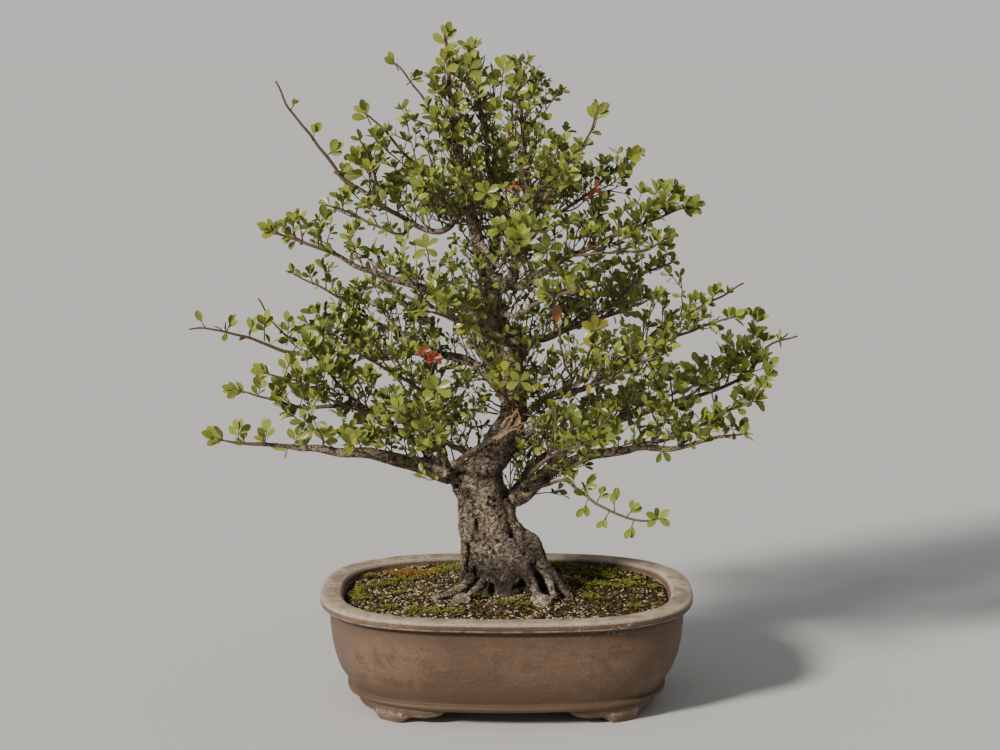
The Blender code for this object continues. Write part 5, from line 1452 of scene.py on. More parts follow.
def build_splinters():
    """Ragged strips of torn wood round the wound above the fork."""
    rows = []
    for first, points in SPLINTERS:
        line = smooth_line([seen(*point) for point in points], SPLINTER_STEP * MM)
        line = crooked(line, SPLINTER_SWAY * MM, 4 * MM)
        course = Course(line, first * MM, SPLINTER_TIP * MM, 0.8)
        rows.append((course.points, course.radii))
    torn = tubes("splinters", rows, 2)
    for vertex in torn.data.vertices:
        vertex.co += drift(vertex.co / MM / 1.6) * (0.55 * MM)
    keep(torn, "torn_splinters", torn_finish(), "bark", "trunk_and_limbs")


def plan_point(radius, angle):
    """The point on the bowed plan whose half length is `radius`, in millimetres from the pot's centre."""
    narrower = (RIM_HALF_LENGTH - RIM_HALF_WIDTH) * min(1.0, radius / PLAN_BLEND)
    power = 2.0 + (PLAN_POWER - 2.0) * min(1.0, radius / PLAN_BLEND)
    c, s = math.cos(angle), math.sin(angle)
    x = radius * math.copysign(abs(c) ** (2 / power), c)
    y = (radius - narrower) * math.copysign(abs(s) ** (2 / power), s)
    return x, y


def inner_wall(height):
    """The pot's inner half length at a height, between floor and lip."""
    share = (height - FLOOR_TOP) / (RIM_HEIGHT - FLOOR_TOP)
    foot = BODY_FOOT - WALL
    top = RIM_HALF_LENGTH - LIP_WIDTH
    return foot + (top - foot) * share**INNER_CURVE


def turned(name, profile, steps):
    """A closed profile, in millimetres, spun round the vertical and pressed to the pot's bowed plan."""
    bm = bmesh.new()
    verts = [bm.verts.new((r * MM, 0, z * MM)) for r, z in profile]
    for a, b in zip(verts, verts[1:]):
        bm.edges.new((a, b))
    obj = from_bmesh(name, bm)
    modify(obj, "SCREW", steps=steps, render_steps=steps, use_merge_vertices=True, merge_threshold=1e-5)
    for vertex in obj.data.vertices:
        radius = math.hypot(vertex.co.x, vertex.co.y) / MM
        x, y = plan_point(radius, math.atan2(vertex.co.y, vertex.co.x))
        vertex.co = POT_CENTRE + Vector((x * MM, y * MM, vertex.co.z))
    return weld(obj, 1e-6)


def pot_profile():
    """From the middle of the floor up the inner wall, over the lip, down the body and back below."""
    lip_bottom = RIM_HEIGHT - LIP_THICKNESS
    inner = [(inner_wall(h), h) for h in (FLOOR_CORNER, 44, WALL_BEND, 76, SOIL_EDGE, RIM_HEIGHT - 3)]
    return [(0, FLOOR_TOP), (BODY_FOOT - WALL - FLOOR_SHORT, FLOOR_TOP)] + inner + [
        (RIM_HALF_LENGTH - LIP_WIDTH + 1.8, RIM_HEIGHT - 0.8),
        (RIM_HALF_LENGTH - LIP_WIDTH + 4, RIM_HEIGHT - 0.1),
        (RIM_HALF_LENGTH - 10, RIM_HEIGHT),
        (RIM_HALF_LENGTH - 2.8, RIM_HEIGHT - 0.2),
        (RIM_HALF_LENGTH - 1.1, RIM_HEIGHT - 1.0),
        (RIM_HALF_LENGTH - 0.3, RIM_HEIGHT - 2.4),
        (RIM_HALF_LENGTH - 0.4, RIM_HEIGHT - 5.6),
        (RIM_HALF_LENGTH - 1.4, RIM_HEIGHT - 6.6),
        (RIM_HALF_LENGTH - 1.1, RIM_HEIGHT - 7.4),
        (RIM_HALF_LENGTH - 2.0, RIM_HEIGHT - 8.6),
        (RIM_HALF_LENGTH - 4.4, lip_bottom),
        (BODY_TOP + 1.0, lip_bottom - 0.7),
        (BODY_TOP, lip_bottom - 3.5),
        (BODY_TOP - 0.4, 78),
        (BODY_TOP - 2, WALL_BEND + 2),
        (BODY_TOP - 4.8, 49),
        (BODY_WAIST, 38),
        (BODY_FOOT + 3.6, 28.5),
        (BODY_FOOT + 0.6, BELT_TOP + 1.6),
        (BODY_FOOT + 0.6, BELT_TOP + 0.3),
        (BODY_FOOT + BELT_BULGE + 0.4, BELT_TOP - 0.8),
        (BODY_FOOT + BELT_BULGE + 1.0, BELT_TOP - 2.4),
        (BODY_FOOT + BELT_BULGE + 0.4, BELT_TOP - 4.0),
        (BODY_FOOT - 0.2, UNDERSIDE + 1.8),
        (BODY_FOOT - 2.5, UNDERSIDE),
        (0, UNDERSIDE),
    ]


def foot_form(turn, mirror):
    """One scroll foot, which follows the corner of the belt and rolls up at both ends."""
    bm = bmesh.new()
    top = UNDERSIDE + 2.5
    ways, soles = zip(*FOOT_COURSE)
    rings = []
    for i in range(FOOT_STATIONS):
        share = i / (FOOT_STATIONS - 1)
        degrees = ways[0] + (ways[-1] - ways[0]) * share
        sole = float(np.interp(degrees, ways, soles))
        outer = BODY_FOOT - FOOT_INSET - 4.5 * abs(2 * share - 1) ** 4
        low = 0.25 * (top - sole)
        ring = []
        for radius, height in (
            (outer - 1.2, top), (outer + 0.5, top - 2.2), (outer + 0.6, sole + 2 * low),
            (outer - 0.9, sole + 0.8 * low), (outer - 2.8, sole), (outer - FOOT_DEPTH, sole),
            (outer - FOOT_DEPTH - 2, top),
        ):
            x, y = plan_point(radius, math.radians(degrees))
            ring.append(bm.verts.new(POT_CENTRE + Vector((x * turn, y * mirror, height)) * MM))
        rings.append(ring)
    join_rings(bm, rings)
    bm.faces.new(rings[0])
    bm.faces.new(rings[-1])
    bmesh.ops.recalc_face_normals(bm, faces=bm.faces)
    return from_bmesh("foot", bm)


def drain_centre(side):
    return POT_CENTRE + Vector((side * DRAIN_OFFSET * MM, 0, 0))


def combine(obj, others, operation):
    """Joins the other meshes to the object or cuts them from it, and removes them."""
    for other in others:
        modify(obj, "BOOLEAN", operation=operation, object=other, solver="EXACT")
        bpy.data.objects.remove(other)


def mark_wear(obj):
    """Stores how far the surface turns outwards at each point, for worn edges."""
    bm = bmesh.new()
    bm.from_mesh(obj.data)
    wear = [max([edge.calc_face_angle_signed(0.0) for edge in vertex.link_edges], default=0.0)
            for vertex in bm.verts]
    bm.free()
    obj.data.attributes.new("wear", "FLOAT", "POINT").data.foreach_set("value", wear)


def build_pot():
    """The fired pot: body, lip, belt, four scroll feet and two drain holes, softened at every edge."""
    pot = turned("pot body", pot_profile(), PLAN_STEPS)
    combine(pot, [foot_form(turn, mirror) for turn in (-1, 1) for mirror in (-1, 1)], "UNION")
    cutters = [
        primitive("cylinder", vertices=DRAIN_SIDES, radius=DRAIN_RADIUS * MM, depth=20 * MM,
                  location=drain_centre(side) + UP * 17 * MM)
        for side in (-1, 1)
    ]
    combine(pot, cutters, "DIFFERENCE")
    modify(pot, "BEVEL", width=POT_ROUNDING * MM, segments=2, limit_method="ANGLE",
           angle_limit=math.radians(POT_ROUNDED_FROM), harden_normals=False)
    mark_wear(pot)
    for vertex in pot.data.vertices:
        sway = drift(vertex.co * 22) * 0.5 + drift(vertex.co * 90) * 0.16
        if vertex.co.z > 0.006:
            vertex.co += sway * MM
    pot.data.shade_smooth()
    pot.data.set_sharp_from_angle(angle=math.radians(POT_SHARP_FROM))
    keep(pot, "stoneware_pot", clay_finish(), "pot", "pot")


def build_screens():
    """The plastic nets over the drain holes, each a grid turned into round bars."""
    for name, side in (("drain_screen_left", -1), ("drain_screen_right", 1)):
        base = drain_centre(side) + UP * SCREEN_BASE * MM
        net = primitive("grid", x_subdivisions=SCREEN_CELLS, y_subdivisions=SCREEN_CELLS,
                        size=SCREEN_SIDE * MM, location=base)
        modify(net, "WIREFRAME", thickness=SCREEN_WIRE * MM, use_boundary=True, use_replace=True)
        keep(net, name.replace("screen", "net"), screen_finish(), "screen", name)


def soil_height(x, y):
    """Height of the soil's surface, in millimetres, at a place measured from the pot's centre."""
    mound = math.exp(-((x - SOIL_MOUND_AT) ** 2 + (y * SOIL_MOUND_OVAL) ** 2) / (2 * SOIL_MOUND_SPREAD**2))
    rough = noise.noise(Vector((x, y, 100)) / 34) + 0.5 * noise.noise(Vector((x, y, 100)) / 15)
    back = max(0.0, y) / RIM_HALF_WIDTH
    return SOIL_EDGE + SOIL_MOUND * mound + SOIL_RISE_BACK * back + SOIL_ROUGHNESS * rough


def build_soil():
    """The bed of earth that fills the pot, crumbly on top."""
    edge = inner_wall(SOIL_EDGE) - SOIL_WALL_GAP
    top = [(edge * i / SOIL_RINGS, SOIL_EDGE) for i in range(SOIL_RINGS + 1)]
    side = [(inner_wall(h) - SOIL_WALL_GAP, h) for h in (76, WALL_BEND, 44, FLOOR_CORNER)]
    floor = [(BODY_FOOT - WALL - FLOOR_SHORT - 2 * SOIL_WALL_GAP, SOIL_BOTTOM), (0, SOIL_BOTTOM)]
    soil = turned("soil", top + side + floor, SOIL_STEPS)
    for vertex in soil.data.vertices:
        if abs(vertex.co.z - SOIL_EDGE * MM) < 1e-6:
            x, y = (vertex.co.x - POT_CENTRE.x) / MM, (vertex.co.y - POT_CENTRE.y) / MM
            crumbs = noise.fractal(Vector((x, y, 0)) / 5, 0.6, 2.0, 3)
            vertex.co.z = (soil_height(x, y) + 0.9 * crumbs) * MM
    soil.data.shade_smooth()
    keep(soil, "soil_bed", soil_finish(), "soil", "soil")


class Form:
    """A small modelled shape, read as arrays so that hundreds of copies can share one mesh."""

    def __init__(self, obj):
        mesh = obj.data
        mesh.calc_loop_triangles()
        self.points = np.array([vertex.co for vertex in mesh.vertices])
        self.faces = np.array([triangle.vertices for triangle in mesh.loop_triangles])
        corners = [loop for triangle in mesh.loop_triangles for loop in triangle.loops]
        if mesh.uv_layers:
            spots = mesh.uv_layers.active.data
            self.spots = np.array([spots[corner].uv for corner in corners])
        else:
            rise = self.points[:, 2] / max(1e-9, self.points[:, 2].max())
            self.spots = np.array([(rise[mesh.loops[corner].vertex_index], 0.5) for corner in corners])
        bpy.data.objects.remove(obj)


def copies(name, forms, places):
    """One mesh of many copies. A place is a form's number, a 3x3 frame, a point and a mark of three parts."""
    points, faces, spots, marks = [], [], [], []
    offset = 0
    for number, form in enumerate(forms):
        chosen = [place for place in places if place[0] == number]
        if not chosen:
            continue
        frames = np.array([place[1] for place in chosen])
        bases = np.array([place[2] for place in chosen])
        placed = np.einsum("nij,vj->nvi", frames, form.points) + bases[:, None]
        firsts = offset + np.arange(len(chosen)) * len(form.points)
        points.append(placed.reshape(-1, 3))
        faces.append((form.faces[None] + firsts[:, None, None]).reshape(-1, 3))
        spots.append(np.tile(form.spots, (len(chosen), 1)))
        marks.append(np.repeat(np.array([place[3] for place in chosen]), len(form.points), axis=0))
        offset += placed.shape[0] * placed.shape[1]
    mesh = bpy.data.meshes.new(name)
    mesh.from_pydata(np.concatenate(points).tolist(), [], np.concatenate(faces).tolist())
    mesh.uv_layers.new(name="spots").data.foreach_set("uv", np.concatenate(spots).ravel())
    marked = mesh.attributes.new("mark", "FLOAT_VECTOR", "POINT")
    marked.data.foreach_set("vector", np.concatenate(marks).ravel())
    mesh.shade_smooth()
    mesh.set_sharp_from_angle(angle=math.radians(50))
    return new_object(name, mesh)


def turned_frame(dice, flat=1.0):
    """A random turn about the vertical with a random lean, as a 3x3 array."""
    turn = Matrix.Rotation(dice.uniform(0, math.tau), 3, "Z")
    back = Matrix.Rotation(dice.uniform(-flat, flat), 3, "X")
    aside = Matrix.Rotation(dice.uniform(-flat, flat), 3, "Y")
    return np.array(turn @ (back @ aside))


def soil_spots(dice, count, margin):
    """Random places on the soil, in millimetres from the pot's centre, outside the trunk's foot."""
    half = inner_wall(SOIL_EDGE) - margin
    narrow = half - (RIM_HALF_LENGTH - RIM_HALF_WIDTH)
    foot = (seen(*ROOT_LEVEL) - POT_CENTRE) / MM
    spots = []
    while len(spots) < count:
        x, y = dice.uniform(-half, half), dice.uniform(-narrow, narrow)
        inside = (abs(x) / half) ** PLAN_POWER + (abs(y) / narrow) ** PLAN_POWER < 1
        if inside and math.hypot((x - foot.x) / TRUNK_FOOT_LENGTH, (y - foot.y) / TRUNK_FOOT_WIDTH) > 1:
            spots.append((x, y))
    return spots


def in_oval(x, y, oval):
    """Whether a place lies in an oval given by its middle and half sizes."""
    middle_x, middle_y, half_x, half_y = oval
    return math.hypot((x - middle_x) / half_x, (y - middle_y) / half_y) < 1


def moss_cover(x, y):
    """How thick the moss grows at a place on the soil, from 0 to 1."""
    full = max(1 - ((x - a) / half_x) ** 2 - ((y - b) / half_y) ** 2 for a, b, half_x, half_y in MOSS)
    broad = noise.noise(Vector((x / 6, y / 6, 5.0)))
    fine = noise.noise(Vector((x / 2.2, y / 2.2, 9.0)))
    return min(1.0, max(0.0, 1.1 * max(full, -0.5) + (1.7 * broad + 1.3 * fine)))


def on_soil(x, y, lift):
    return np.array(POT_CENTRE) + np.array((x, y, soil_height(x, y) + lift)) * MM


def grain_form(seed, long, wide, thick):
    """A chip: a coarse ball pressed flat and knocked out of true."""
    chip = primitive("ico_sphere", subdivisions=1, radius=1)
    bpy.ops.object.mode_set(mode="EDIT")
    bpy.ops.transform.resize(value=(long, wide, thick))
    bpy.ops.transform.vertex_random(offset=0.6 * thick, seed=seed)
    bpy.ops.object.mode_set(mode="OBJECT")
    return Form(chip)


def build_grains():
    """Loose grit over the whole bed: mostly damp dark chips, with brown and pale grains between them."""
    dice = random.Random(GRAIN_SEED)
    forms = [grain_form(*shape) for shape in GRAIN_FORMS]
    places = []
    for x, y in soil_spots(dice, sizes().grains, 1.5):
        kind = dice.random() * (0.82 if x > 70 else 1.0)
        size = (dice.uniform(0.7, 1.5) if kind < 0.7 else dice.uniform(1.0, 1.9)) * MM
        base = on_soil(x, y, size / MM * 0.3 + 0.3 * dice.random())
        form = dice.randrange(len(forms))
        places.append((form, turned_frame(dice, 0.6) * size, base, (kind, dice.random(), 0)))
    keep(copies("grains", forms, places), "soil_grains", grain_finish(), "soil")


def tuft_form(seed):
    """A tuft of moss: thin three-sided blades that lean out from one foot."""
    dice = random.Random(seed)
    blade = primitive(
        "cone", vertices=3, radius1=0.16, depth=1, location=(0, 0, 0.5), end_fill_type="NOTHING")
    bpy.ops.object.transform_apply(location=True)
    bm = bmesh.new()
    for i in range(TUFT_BLADES):
        lean = Matrix.Rotation(dice.uniform(0.25, 0.8), 4, "X")
        turn = Matrix.Rotation(math.tau * i / TUFT_BLADES + dice.uniform(-0.3, 0.3), 4, "Z")
        tall = Matrix.Scale(dice.uniform(0.6, 1.1), 4)
        count = len(bm.verts)
        bm.from_mesh(blade.data)
        bm.verts.ensure_lookup_table()
        bmesh.ops.transform(bm, matrix=turn @ lean @ tall, verts=bm.verts[count:])
    bpy.data.objects.remove(blade)
    tuft = from_bmesh("tuft", bm)
    while tuft.data.uv_layers:
        tuft.data.uv_layers.remove(tuft.data.uv_layers[0])
    return Form(tuft)


def build_moss():
    """Moss in patches: a band across the rear, clumps at the left edge and round the trunk."""
    dice = random.Random(MOSS_SEED)
    forms = [tuft_form(seed) for seed in range(TUFT_FORMS)]
    most = sizes().moss_tufts
    places = []
    for x, y in soil_spots(dice, 7 * most, 3):
        cover = moss_cover(x, y)
        if len(places) < most and dice.random() < cover:
            size = dice.uniform(1.2, 3.3) * (0.6 + 0.5 * cover) * MM
            base = on_soil(x, y, 0.2 + 1.5 * cover)
            rust = dice.uniform(0.5, 1.0) if in_oval(x, y, RUSTY_MOSS) else 0.0
            form = dice.randrange(TUFT_FORMS)
            places.append((form, turned_frame(dice, 0.4) * size, base, (dice.random(), rust, 0)))
    keep(copies("moss", forms, places), "moss_tufts", moss_finish(), "soil")


def build_litter(leaf_forms):
    """Fallen leaves: a rust-red drift at the rear left and a few scattered ones."""
    dice = random.Random(LITTER_SEED)
    places = []
    for i, (x, y) in enumerate(soil_spots(dice, LITTER_TRIES, 5)):
        thick = in_oval(x, y, LEAF_DRIFT)
        if thick or i % LITTER_ONE_IN == 0:
            size = (dice.uniform(2.2, 5.0) if thick else dice.uniform(4, 7)) * MM
            mark = (0.1, dice.uniform(0, 0.3), dice.uniform(0.2, 0.75) if thick else 0.25)
            base = on_soil(x, y, dice.uniform(0.6, 2.0))
            places.append((dice.randrange(len(leaf_forms)), turned_frame(dice, 0.8) * size, base, mark))
    keep(copies("litter", leaf_forms, places), "fallen_leaves", leaf_finish(), "leaf")


def build_stones():
    """The pale stones at the trunk's foot: a ball pressed to each stone's size and cut flat on some sides."""
    for name, x, y, *half in STONES:
        stone = primitive("ico_sphere", subdivisions=4, radius=1)
        centre = POT_CENTRE + Vector((x, y, soil_height(x, y) + STONE_OUT * half[2])) * MM
        dice = random.Random(x)
        planes = []
        for _ in range(STONE_SIDES):
            plane = Vector([dice.gauss(0, 1) for _ in range(3)]).normalized()
            planes.append((plane, dice.uniform(0.66, 0.92)))
        for vertex in stone.data.vertices:
            way = vertex.co.normalized()
            cuts = [cut / max(0.01, way.dot(plane)) for plane, cut in planes]
            lump = min(1.08, *cuts) + 0.035 * noise.fractal(way * 5, 0.7, 2.0, 4)
            vertex.co = centre + Vector([way[i] * half[i] * lump * MM for i in range(3)])
        stone.data.shade_smooth()
        keep(stone, "pale_" + name, stone_finish(), "stone", name)


def leaf_form(outline, fold, curl, twist):
    """One leaf of unit length: a grid pressed to the outline, folded, curled and closed by a turned copy."""
    last = len(outline) - 1
    leaf = primitive("grid", x_subdivisions=last, y_subdivisions=2, size=1)
    bm = bmesh.new()
    bm.from_mesh(leaf.data)
    spots = bm.loops.layers.uv.verify()
    half_width = sizes().leaf_width / 2
    for vertex in bm.verts:
        along, wide = outline[round((vertex.co.x + 0.5) * last)]
        side = round(vertex.co.y * 2)
        y = side * wide * half_width
        droop = curl * (along - 0.35) ** 2
        vertex.co = Vector((along, y, fold * abs(y) - droop + twist * y * along))
    for face in bm.faces:
        for loop in face.loops:
            loop[spots].uv = (loop.vert.co.x, 0.5 + 0.5 * loop.vert.co.y / half_width)
    lower = bmesh.ops.duplicate(bm, geom=list(bm.faces))["geom"]
    faces = [part for part in lower if isinstance(part, bmesh.types.BMFace)]
    bmesh.ops.reverse_faces(bm, faces=faces)
    for face in faces:
        for loop in face.loops:
            loop[spots].uv.y += 2
    for part in lower:
        if isinstance(part, bmesh.types.BMVert) and abs(part.co.y) < 1e-6 and 0.05 < part.co.x < 0.99:
            part.co.z -= 0.022
    bmesh.ops.remove_doubles(bm, verts=bm.verts, dist=1e-5)
    bm.to_mesh(leaf.data)
    bm.free()
    return Form(leaf)


def sideways(way, turn):
    """A way square to `way`: the level one, turned round it."""
    side = way.cross(UP)
    if side.length < 1e-3:
        side = Vector((1, 0, 0))
    side.normalize()
    side.rotate(Matrix.Rotation(turn, 3, way))
    return side


def outward(point):
    """The level way from the crown's axis to a point, and its share of the crown's width at that height."""
    axis = seen(*CROWN_AXIS)
    way = Vector((point.x - axis.x, (point.y - axis.y) * 1.5, 0))
    reach = CROWN_HALF_WIDTH * min(1.0, max(0.12, (CROWN_PEAK - point.z) / CROWN_TAPER))
    return way.normalized() if way.length > 1e-6 else FRONT, min(1.0, way.length / reach)


def anywhere(dice):
    """A random vector, up to 1 long along each axis."""
    return Vector([dice.uniform(-1, 1) for _ in range(3)])


def leaf_frame(way, face, length):
    """A leaf's 3x3 frame: it points along `way`, its upper side turned to `face` as far as that allows."""
    across = face.cross(way).normalized()
    up = way.cross(across).normalized()
    return np.array((way, across, up)).T * length


def pick_form(size, dice):
    """The number of a leaf form; large leaves get one of those with the fine outline."""
    return dice.randrange(len(LEAF_FORMS)) + len(LEAF_FORMS) * (size > FINE_LEAF)


class Shoots:
    """What grows on the limbs of one group: the thin courses and the leaves' places."""

    def __init__(self):
        self.courses = []
        self.fine = []
        self.leaves = []

    def add_tuft(self, place, axis, size, count, dice, age=(0.0, 0.0)):
        """Leaves that spread from one bud, their upper sides turned up and out."""
        turn = dice.uniform(0, math.tau)
        out, far = outward(place)
        for _ in range(count):
            turn += GOLDEN
            way = (axis * dice.uniform(0.5, 1.4) + sideways(axis, turn) + UP * 0.2).normalized()
            face = UP * FACE_UP + out * FACE_OUT + axis * FACE_ALONG + FRONT * FACE_FRONT
            face = face + anywhere(dice) * FACE_STRAY
            length = size * dice.uniform(0.72, 1.12)
            # the share of the lit leaf colour: painted light that grows towards the crown's outside, with
            # random tone
            lit_and_random_tone = min(1.0, max(0.0, 0.24 + 0.34 * far + dice.uniform(-0.42, 0.52)))
            yellow = max(age[0] * dice.uniform(0.7, 1.2), 0.5 * (dice.random() ** 14))
            red = age[1] * dice.uniform(0.75, 1.05)
            form = pick_form(size, dice)
            self.leaves.append((form, leaf_frame(way, face, length), np.array(place), (lit_and_random_tone, yellow, red)))

    def add_twig(self, start, out, length, radius, leaf, dice, level, age):
        """A crooked twig with its tufts, and with shorter twigs of its own while it is long enough."""
        s = sizes()
        count = max(2, round(length / (TWIG_STRETCH * MM)))
        points = [start]
        heading = out
        for _ in range(count):
            lift = UP * 0.16 + outward(points[-1])[0] * 0.05
            heading = (heading + lift + anywhere(dice) * 0.27).normalized()
            points.append(points[-1] + heading * (length / count))
        course = Course(points, radius, TWIG_TIP * MM, 1.0)
        self.fine.append((course.points, course.radii))
        far = outward(points[-1])[1]
        leaf = s.inner_leaf + (leaf - s.inner_leaf) * min(1.0, 0.15 + far)
        sparse = max(0.0, 1 - far / INNER_CROWN)
        place = 0.26 * length
        while place < length * 0.9:
            point, way, _ = course.at(place / length)
            side = sideways(way, dice.uniform(0, math.tau))
            if level < 2 and length > FORKING_LENGTH * MM and dice.random() < 0.6:
                branch = (way * 0.6 + side * 0.8 + UP * 0.3).normalized()
                shorter = length * dice.uniform(0.3, 0.6)
                self.add_twig(point, branch, shorter, radius * 0.75, leaf, dice, 2, age)
            elif dice.random() > 0.3 * sparse:
                axis = (side + way * 0.5 + UP * 0.4).normalized()
                self.add_tuft(point, axis, 0.8 * leaf, dice.choice((1, 1, 2, 3)), dice, age)
            place += s.node_step * dice.uniform(0.8, 1.3)
        count = dice.choice((2, 3)) if sparse > 0.3 else dice.choice((3, 4, 5, 5))
        self.add_tuft(points[-1], heading, leaf * dice.uniform(0.85, 1.15), count, dice, age)

    def add_shoot(self, knots, leaf, dice):
        """A small leafy shoot through the points, with tufts along it and a rosette at its tip."""
        line = crooked(smooth_line(knots, SHOOT_STEP * MM), SHOOT_SWAY * MM, SHOOT_BEND * MM)
        course = Course(line, 0.9 * MM, 0.4 * MM, 1.0)
        self.fine.append((course.points, course.radii))
        place = 0.3 * course.length
        while place < 0.92 * course.length:
            point, way, _ = course.at(place / course.length)
            side = sideways(way, dice.uniform(0, math.tau))
            if dice.random() < 0.5:
                branch = (side + way * 0.4 + UP * 0.3).normalized()
                length = dice.uniform(9, 17) * MM
                self.add_twig(point, branch, length, 0.55 * MM, leaf, dice, 2, (0.0, 0.0))
            else:
                self.add_tuft(point, (side + UP * 0.4).normalized(), 0.85 * leaf, dice.choice((2, 3)), dice)
            place += 6.5 * MM * dice.uniform(0.8, 1.25)
        point, way, _ = course.at(1.0)
        self.add_tuft(point, way, leaf, 5, dice)

    def add_front_leaf(self, place, way, face, size, age, dice):
        """A leaf on an outer stem, with its upper side turned to where the face points."""
        axes = leaf_frame(way, face, size) * dice.uniform(0.85, 1.1)
        # the outer leaves get more of the lit leaf colour, painted light, with random tone
        self.leaves.append((pick_form(size, dice), axes, np.array(place), (dice.uniform(0.4, 0.9), *age)))

    def add_rosette(self, start, tip, size, count, age, dice):
        """A thin stem with leaves fanned out at its tip, their upper sides turned to the front."""
        middle = start.lerp(tip, 0.55) - UP * 0.1 * (tip - start).length
        line = smooth_line([start, middle, tip], 5 * MM)
        self.fine.append((line, [0.55 * MM] * len(line)))
        for i in range(count):
            angle = 2.1 * (2 * i / (count - 1) - 1) if count > 1 else 0.0
            angle += dice.uniform(-0.2, 0.2)
            way = Vector((math.sin(angle), dice.uniform(-0.5, 0.1), math.cos(angle))).normalized()
            face = Vector((dice.uniform(-0.35, 0.35), -1.0, dice.uniform(0.2, 0.7)))
            self.add_front_leaf(tip, way, face, size, age, dice)

    def add_sprig(self, start, tip, size, count, dice):
        """An upright stem with its leaves in turn right and left of it, the lower ones spread wider."""
        self.fine.append(([start, tip], [0.6 * MM, 0.45 * MM]))
        heading = (tip - start).normalized()
        for i in range(count):
            side = -1 if i % 2 else 1
            turn = side * (0.12 + 0.24 * i) + dice.uniform(-0.2, 0.2)
            way = Matrix.Rotation(turn, 3, "Y") @ heading
            way = (way + FRONT * dice.uniform(-0.35, 0.5)).normalized()
            face = Vector((dice.uniform(-0.7, 0.7), -1.0, dice.uniform(-0.1, 1.0)))
            place = tip.lerp(start, 0.62 * i / count)
            self.add_front_leaf(place, way, face, size, (0.15 * dice.random(), 0.0), dice)


def grow_limb(shoots, course, limb, dice):
    """Side twigs along the limb, shorter towards its tip, and tufts of larger leaves on its outer stretch."""
    s = sizes()
    leaf = limb.leaf * s.leaf_share * MM
    age = AGED.get(limb.name, (0.0, 0.0))
    twigs_from, twigs_to, leaves_to, fullness = HABITS.get(limb.name, USUAL_HABIT)
    woody = max(0, course.split(THICK * MM) - 1)
    shoots.courses.append((course.points[woody:], course.radii[woody:]))
    turn = dice.uniform(0, math.tau)
    place = max(0.016, twigs_from * course.length)
    while place < twigs_to * course.length:
        point, way, radius = course.at(place / course.length)
        rest = course.length - place
        closer = 0.5 * max(0.0, 1 - outward(point)[1] / INNER_CROWN)
        turn += GOLDEN
        side = sideways(way, turn)
        out = (side * 0.85 + way * 0.5 + UP * (0.35 + 25 * radius)).normalized()
        if out.z < -0.1:
            out = (out + UP * 0.6).normalized()
        longest = min(s.twig_longest * (1 + 0.4 * closer), s.twig_at_tip + 0.42 * rest)
        length = longest * dice.uniform(0.55, 1.2)
        shoots.add_twig(point + out * radius * 0.5, out, length, TWIG_RADIUS * MM, leaf, dice, 1, age)
        place += s.twig_step * (1 - closer) / fullness * dice.uniform(0.7, 1.35)
    place = max(course.length - OUTER_STRETCH, max(0.3, min(twigs_from, 1)) * course.length)
    while place < leaves_to * course.length:
        point, way, radius = course.at(place / course.length)
        turn += GOLDEN
        axis = (sideways(way, turn) * 0.9 + way * 0.4 + UP * 0.55).normalized()
        shoots.add_tuft(point + axis * radius, axis, leaf * 0.88, dice.choice((2, 3, 4)), dice, age)
        place += 1.9 * s.node_step * dice.uniform(0.8, 1.3)
    if leaves_to == 1.0:
        point, way, _ = course.at(1.0)
        shoots.add_tuft(point, way, leaf, 4, dice, age)


def grow_tree():
    """Every group's shoots, grown limb by limb and then from the tables, each row with a seed of its own."""
    groups = {}
    limbs = limb_courses()
    for seed, (course, limb) in enumerate(limbs.values(), LIMB_SEED):
        shoots = groups.setdefault(limb.group, Shoots())
        grow_limb(shoots, course, limb, random.Random(seed))
    for seed, (group, leaf, points) in enumerate(SMALL_SHOOTS, SHOOT_SEED):
        groups[group].add_shoot([seen(*point) for point in points], leaf * MM, random.Random(seed))
    for seed, (group, leaf, count, *age, start, tip) in enumerate(ROSETTES, ROSETTE_SEED):
        dice = random.Random(seed)
        groups[group].add_rosette(seen(*start), seen(*tip), leaf * MM, count, age, dice)
    for seed, (group, leaf, count, start, tip) in enumerate(SPRIGS, SPRIG_SEED):
        groups[group].add_sprig(seen(*start), seen(*tip), leaf * MM, count, random.Random(seed))
    for seed, (name, share, size, count, *age) in enumerate(ACCENTS, ACCENT_SEED):
        course, limb = limbs[name]
        point, way, _ = course.at(share)
        axis = (way + UP * 0.5 + outward(point)[0] * 0.4).normalized()
        groups[limb.group].add_tuft(point, axis, size * MM, count, random.Random(seed), age)
    return groups


def build_shoots(leaf_forms):
    """Each group's twigs as one piece and its leaves as another, in place of the CAD sprays."""
    bark, green = twig_finish(), leaf_finish()
    for group, shoots in grow_tree().items():
        nodes = ["spray_" + limb.name for limb in LIMBS if limb.group == group and "stub" not in limb.name]
        stems = tubes("stems", shoots.courses, 1)
        twigs = choose(stems, tubes("twigs", shoots.fine, 0))
        bpy.ops.object.join()
        twigs.data.shade_smooth()
        keep(twigs, "twigs_" + group, bark, "bark", *nodes)
        keep(copies("leaves", leaf_forms, shoots.leaves), "leaves_" + group, green, "leaf", *nodes)


def build_foliage():
    """The twigs and leaves of the tree, and the leaves that fell on the soil."""
    leaf_forms = [leaf_form(line, *shape) for line in (PLAIN_OUTLINE, FINE_OUTLINE) for shape in LEAF_FORMS]
    build_shoots(leaf_forms)
    build_litter(leaf_forms)


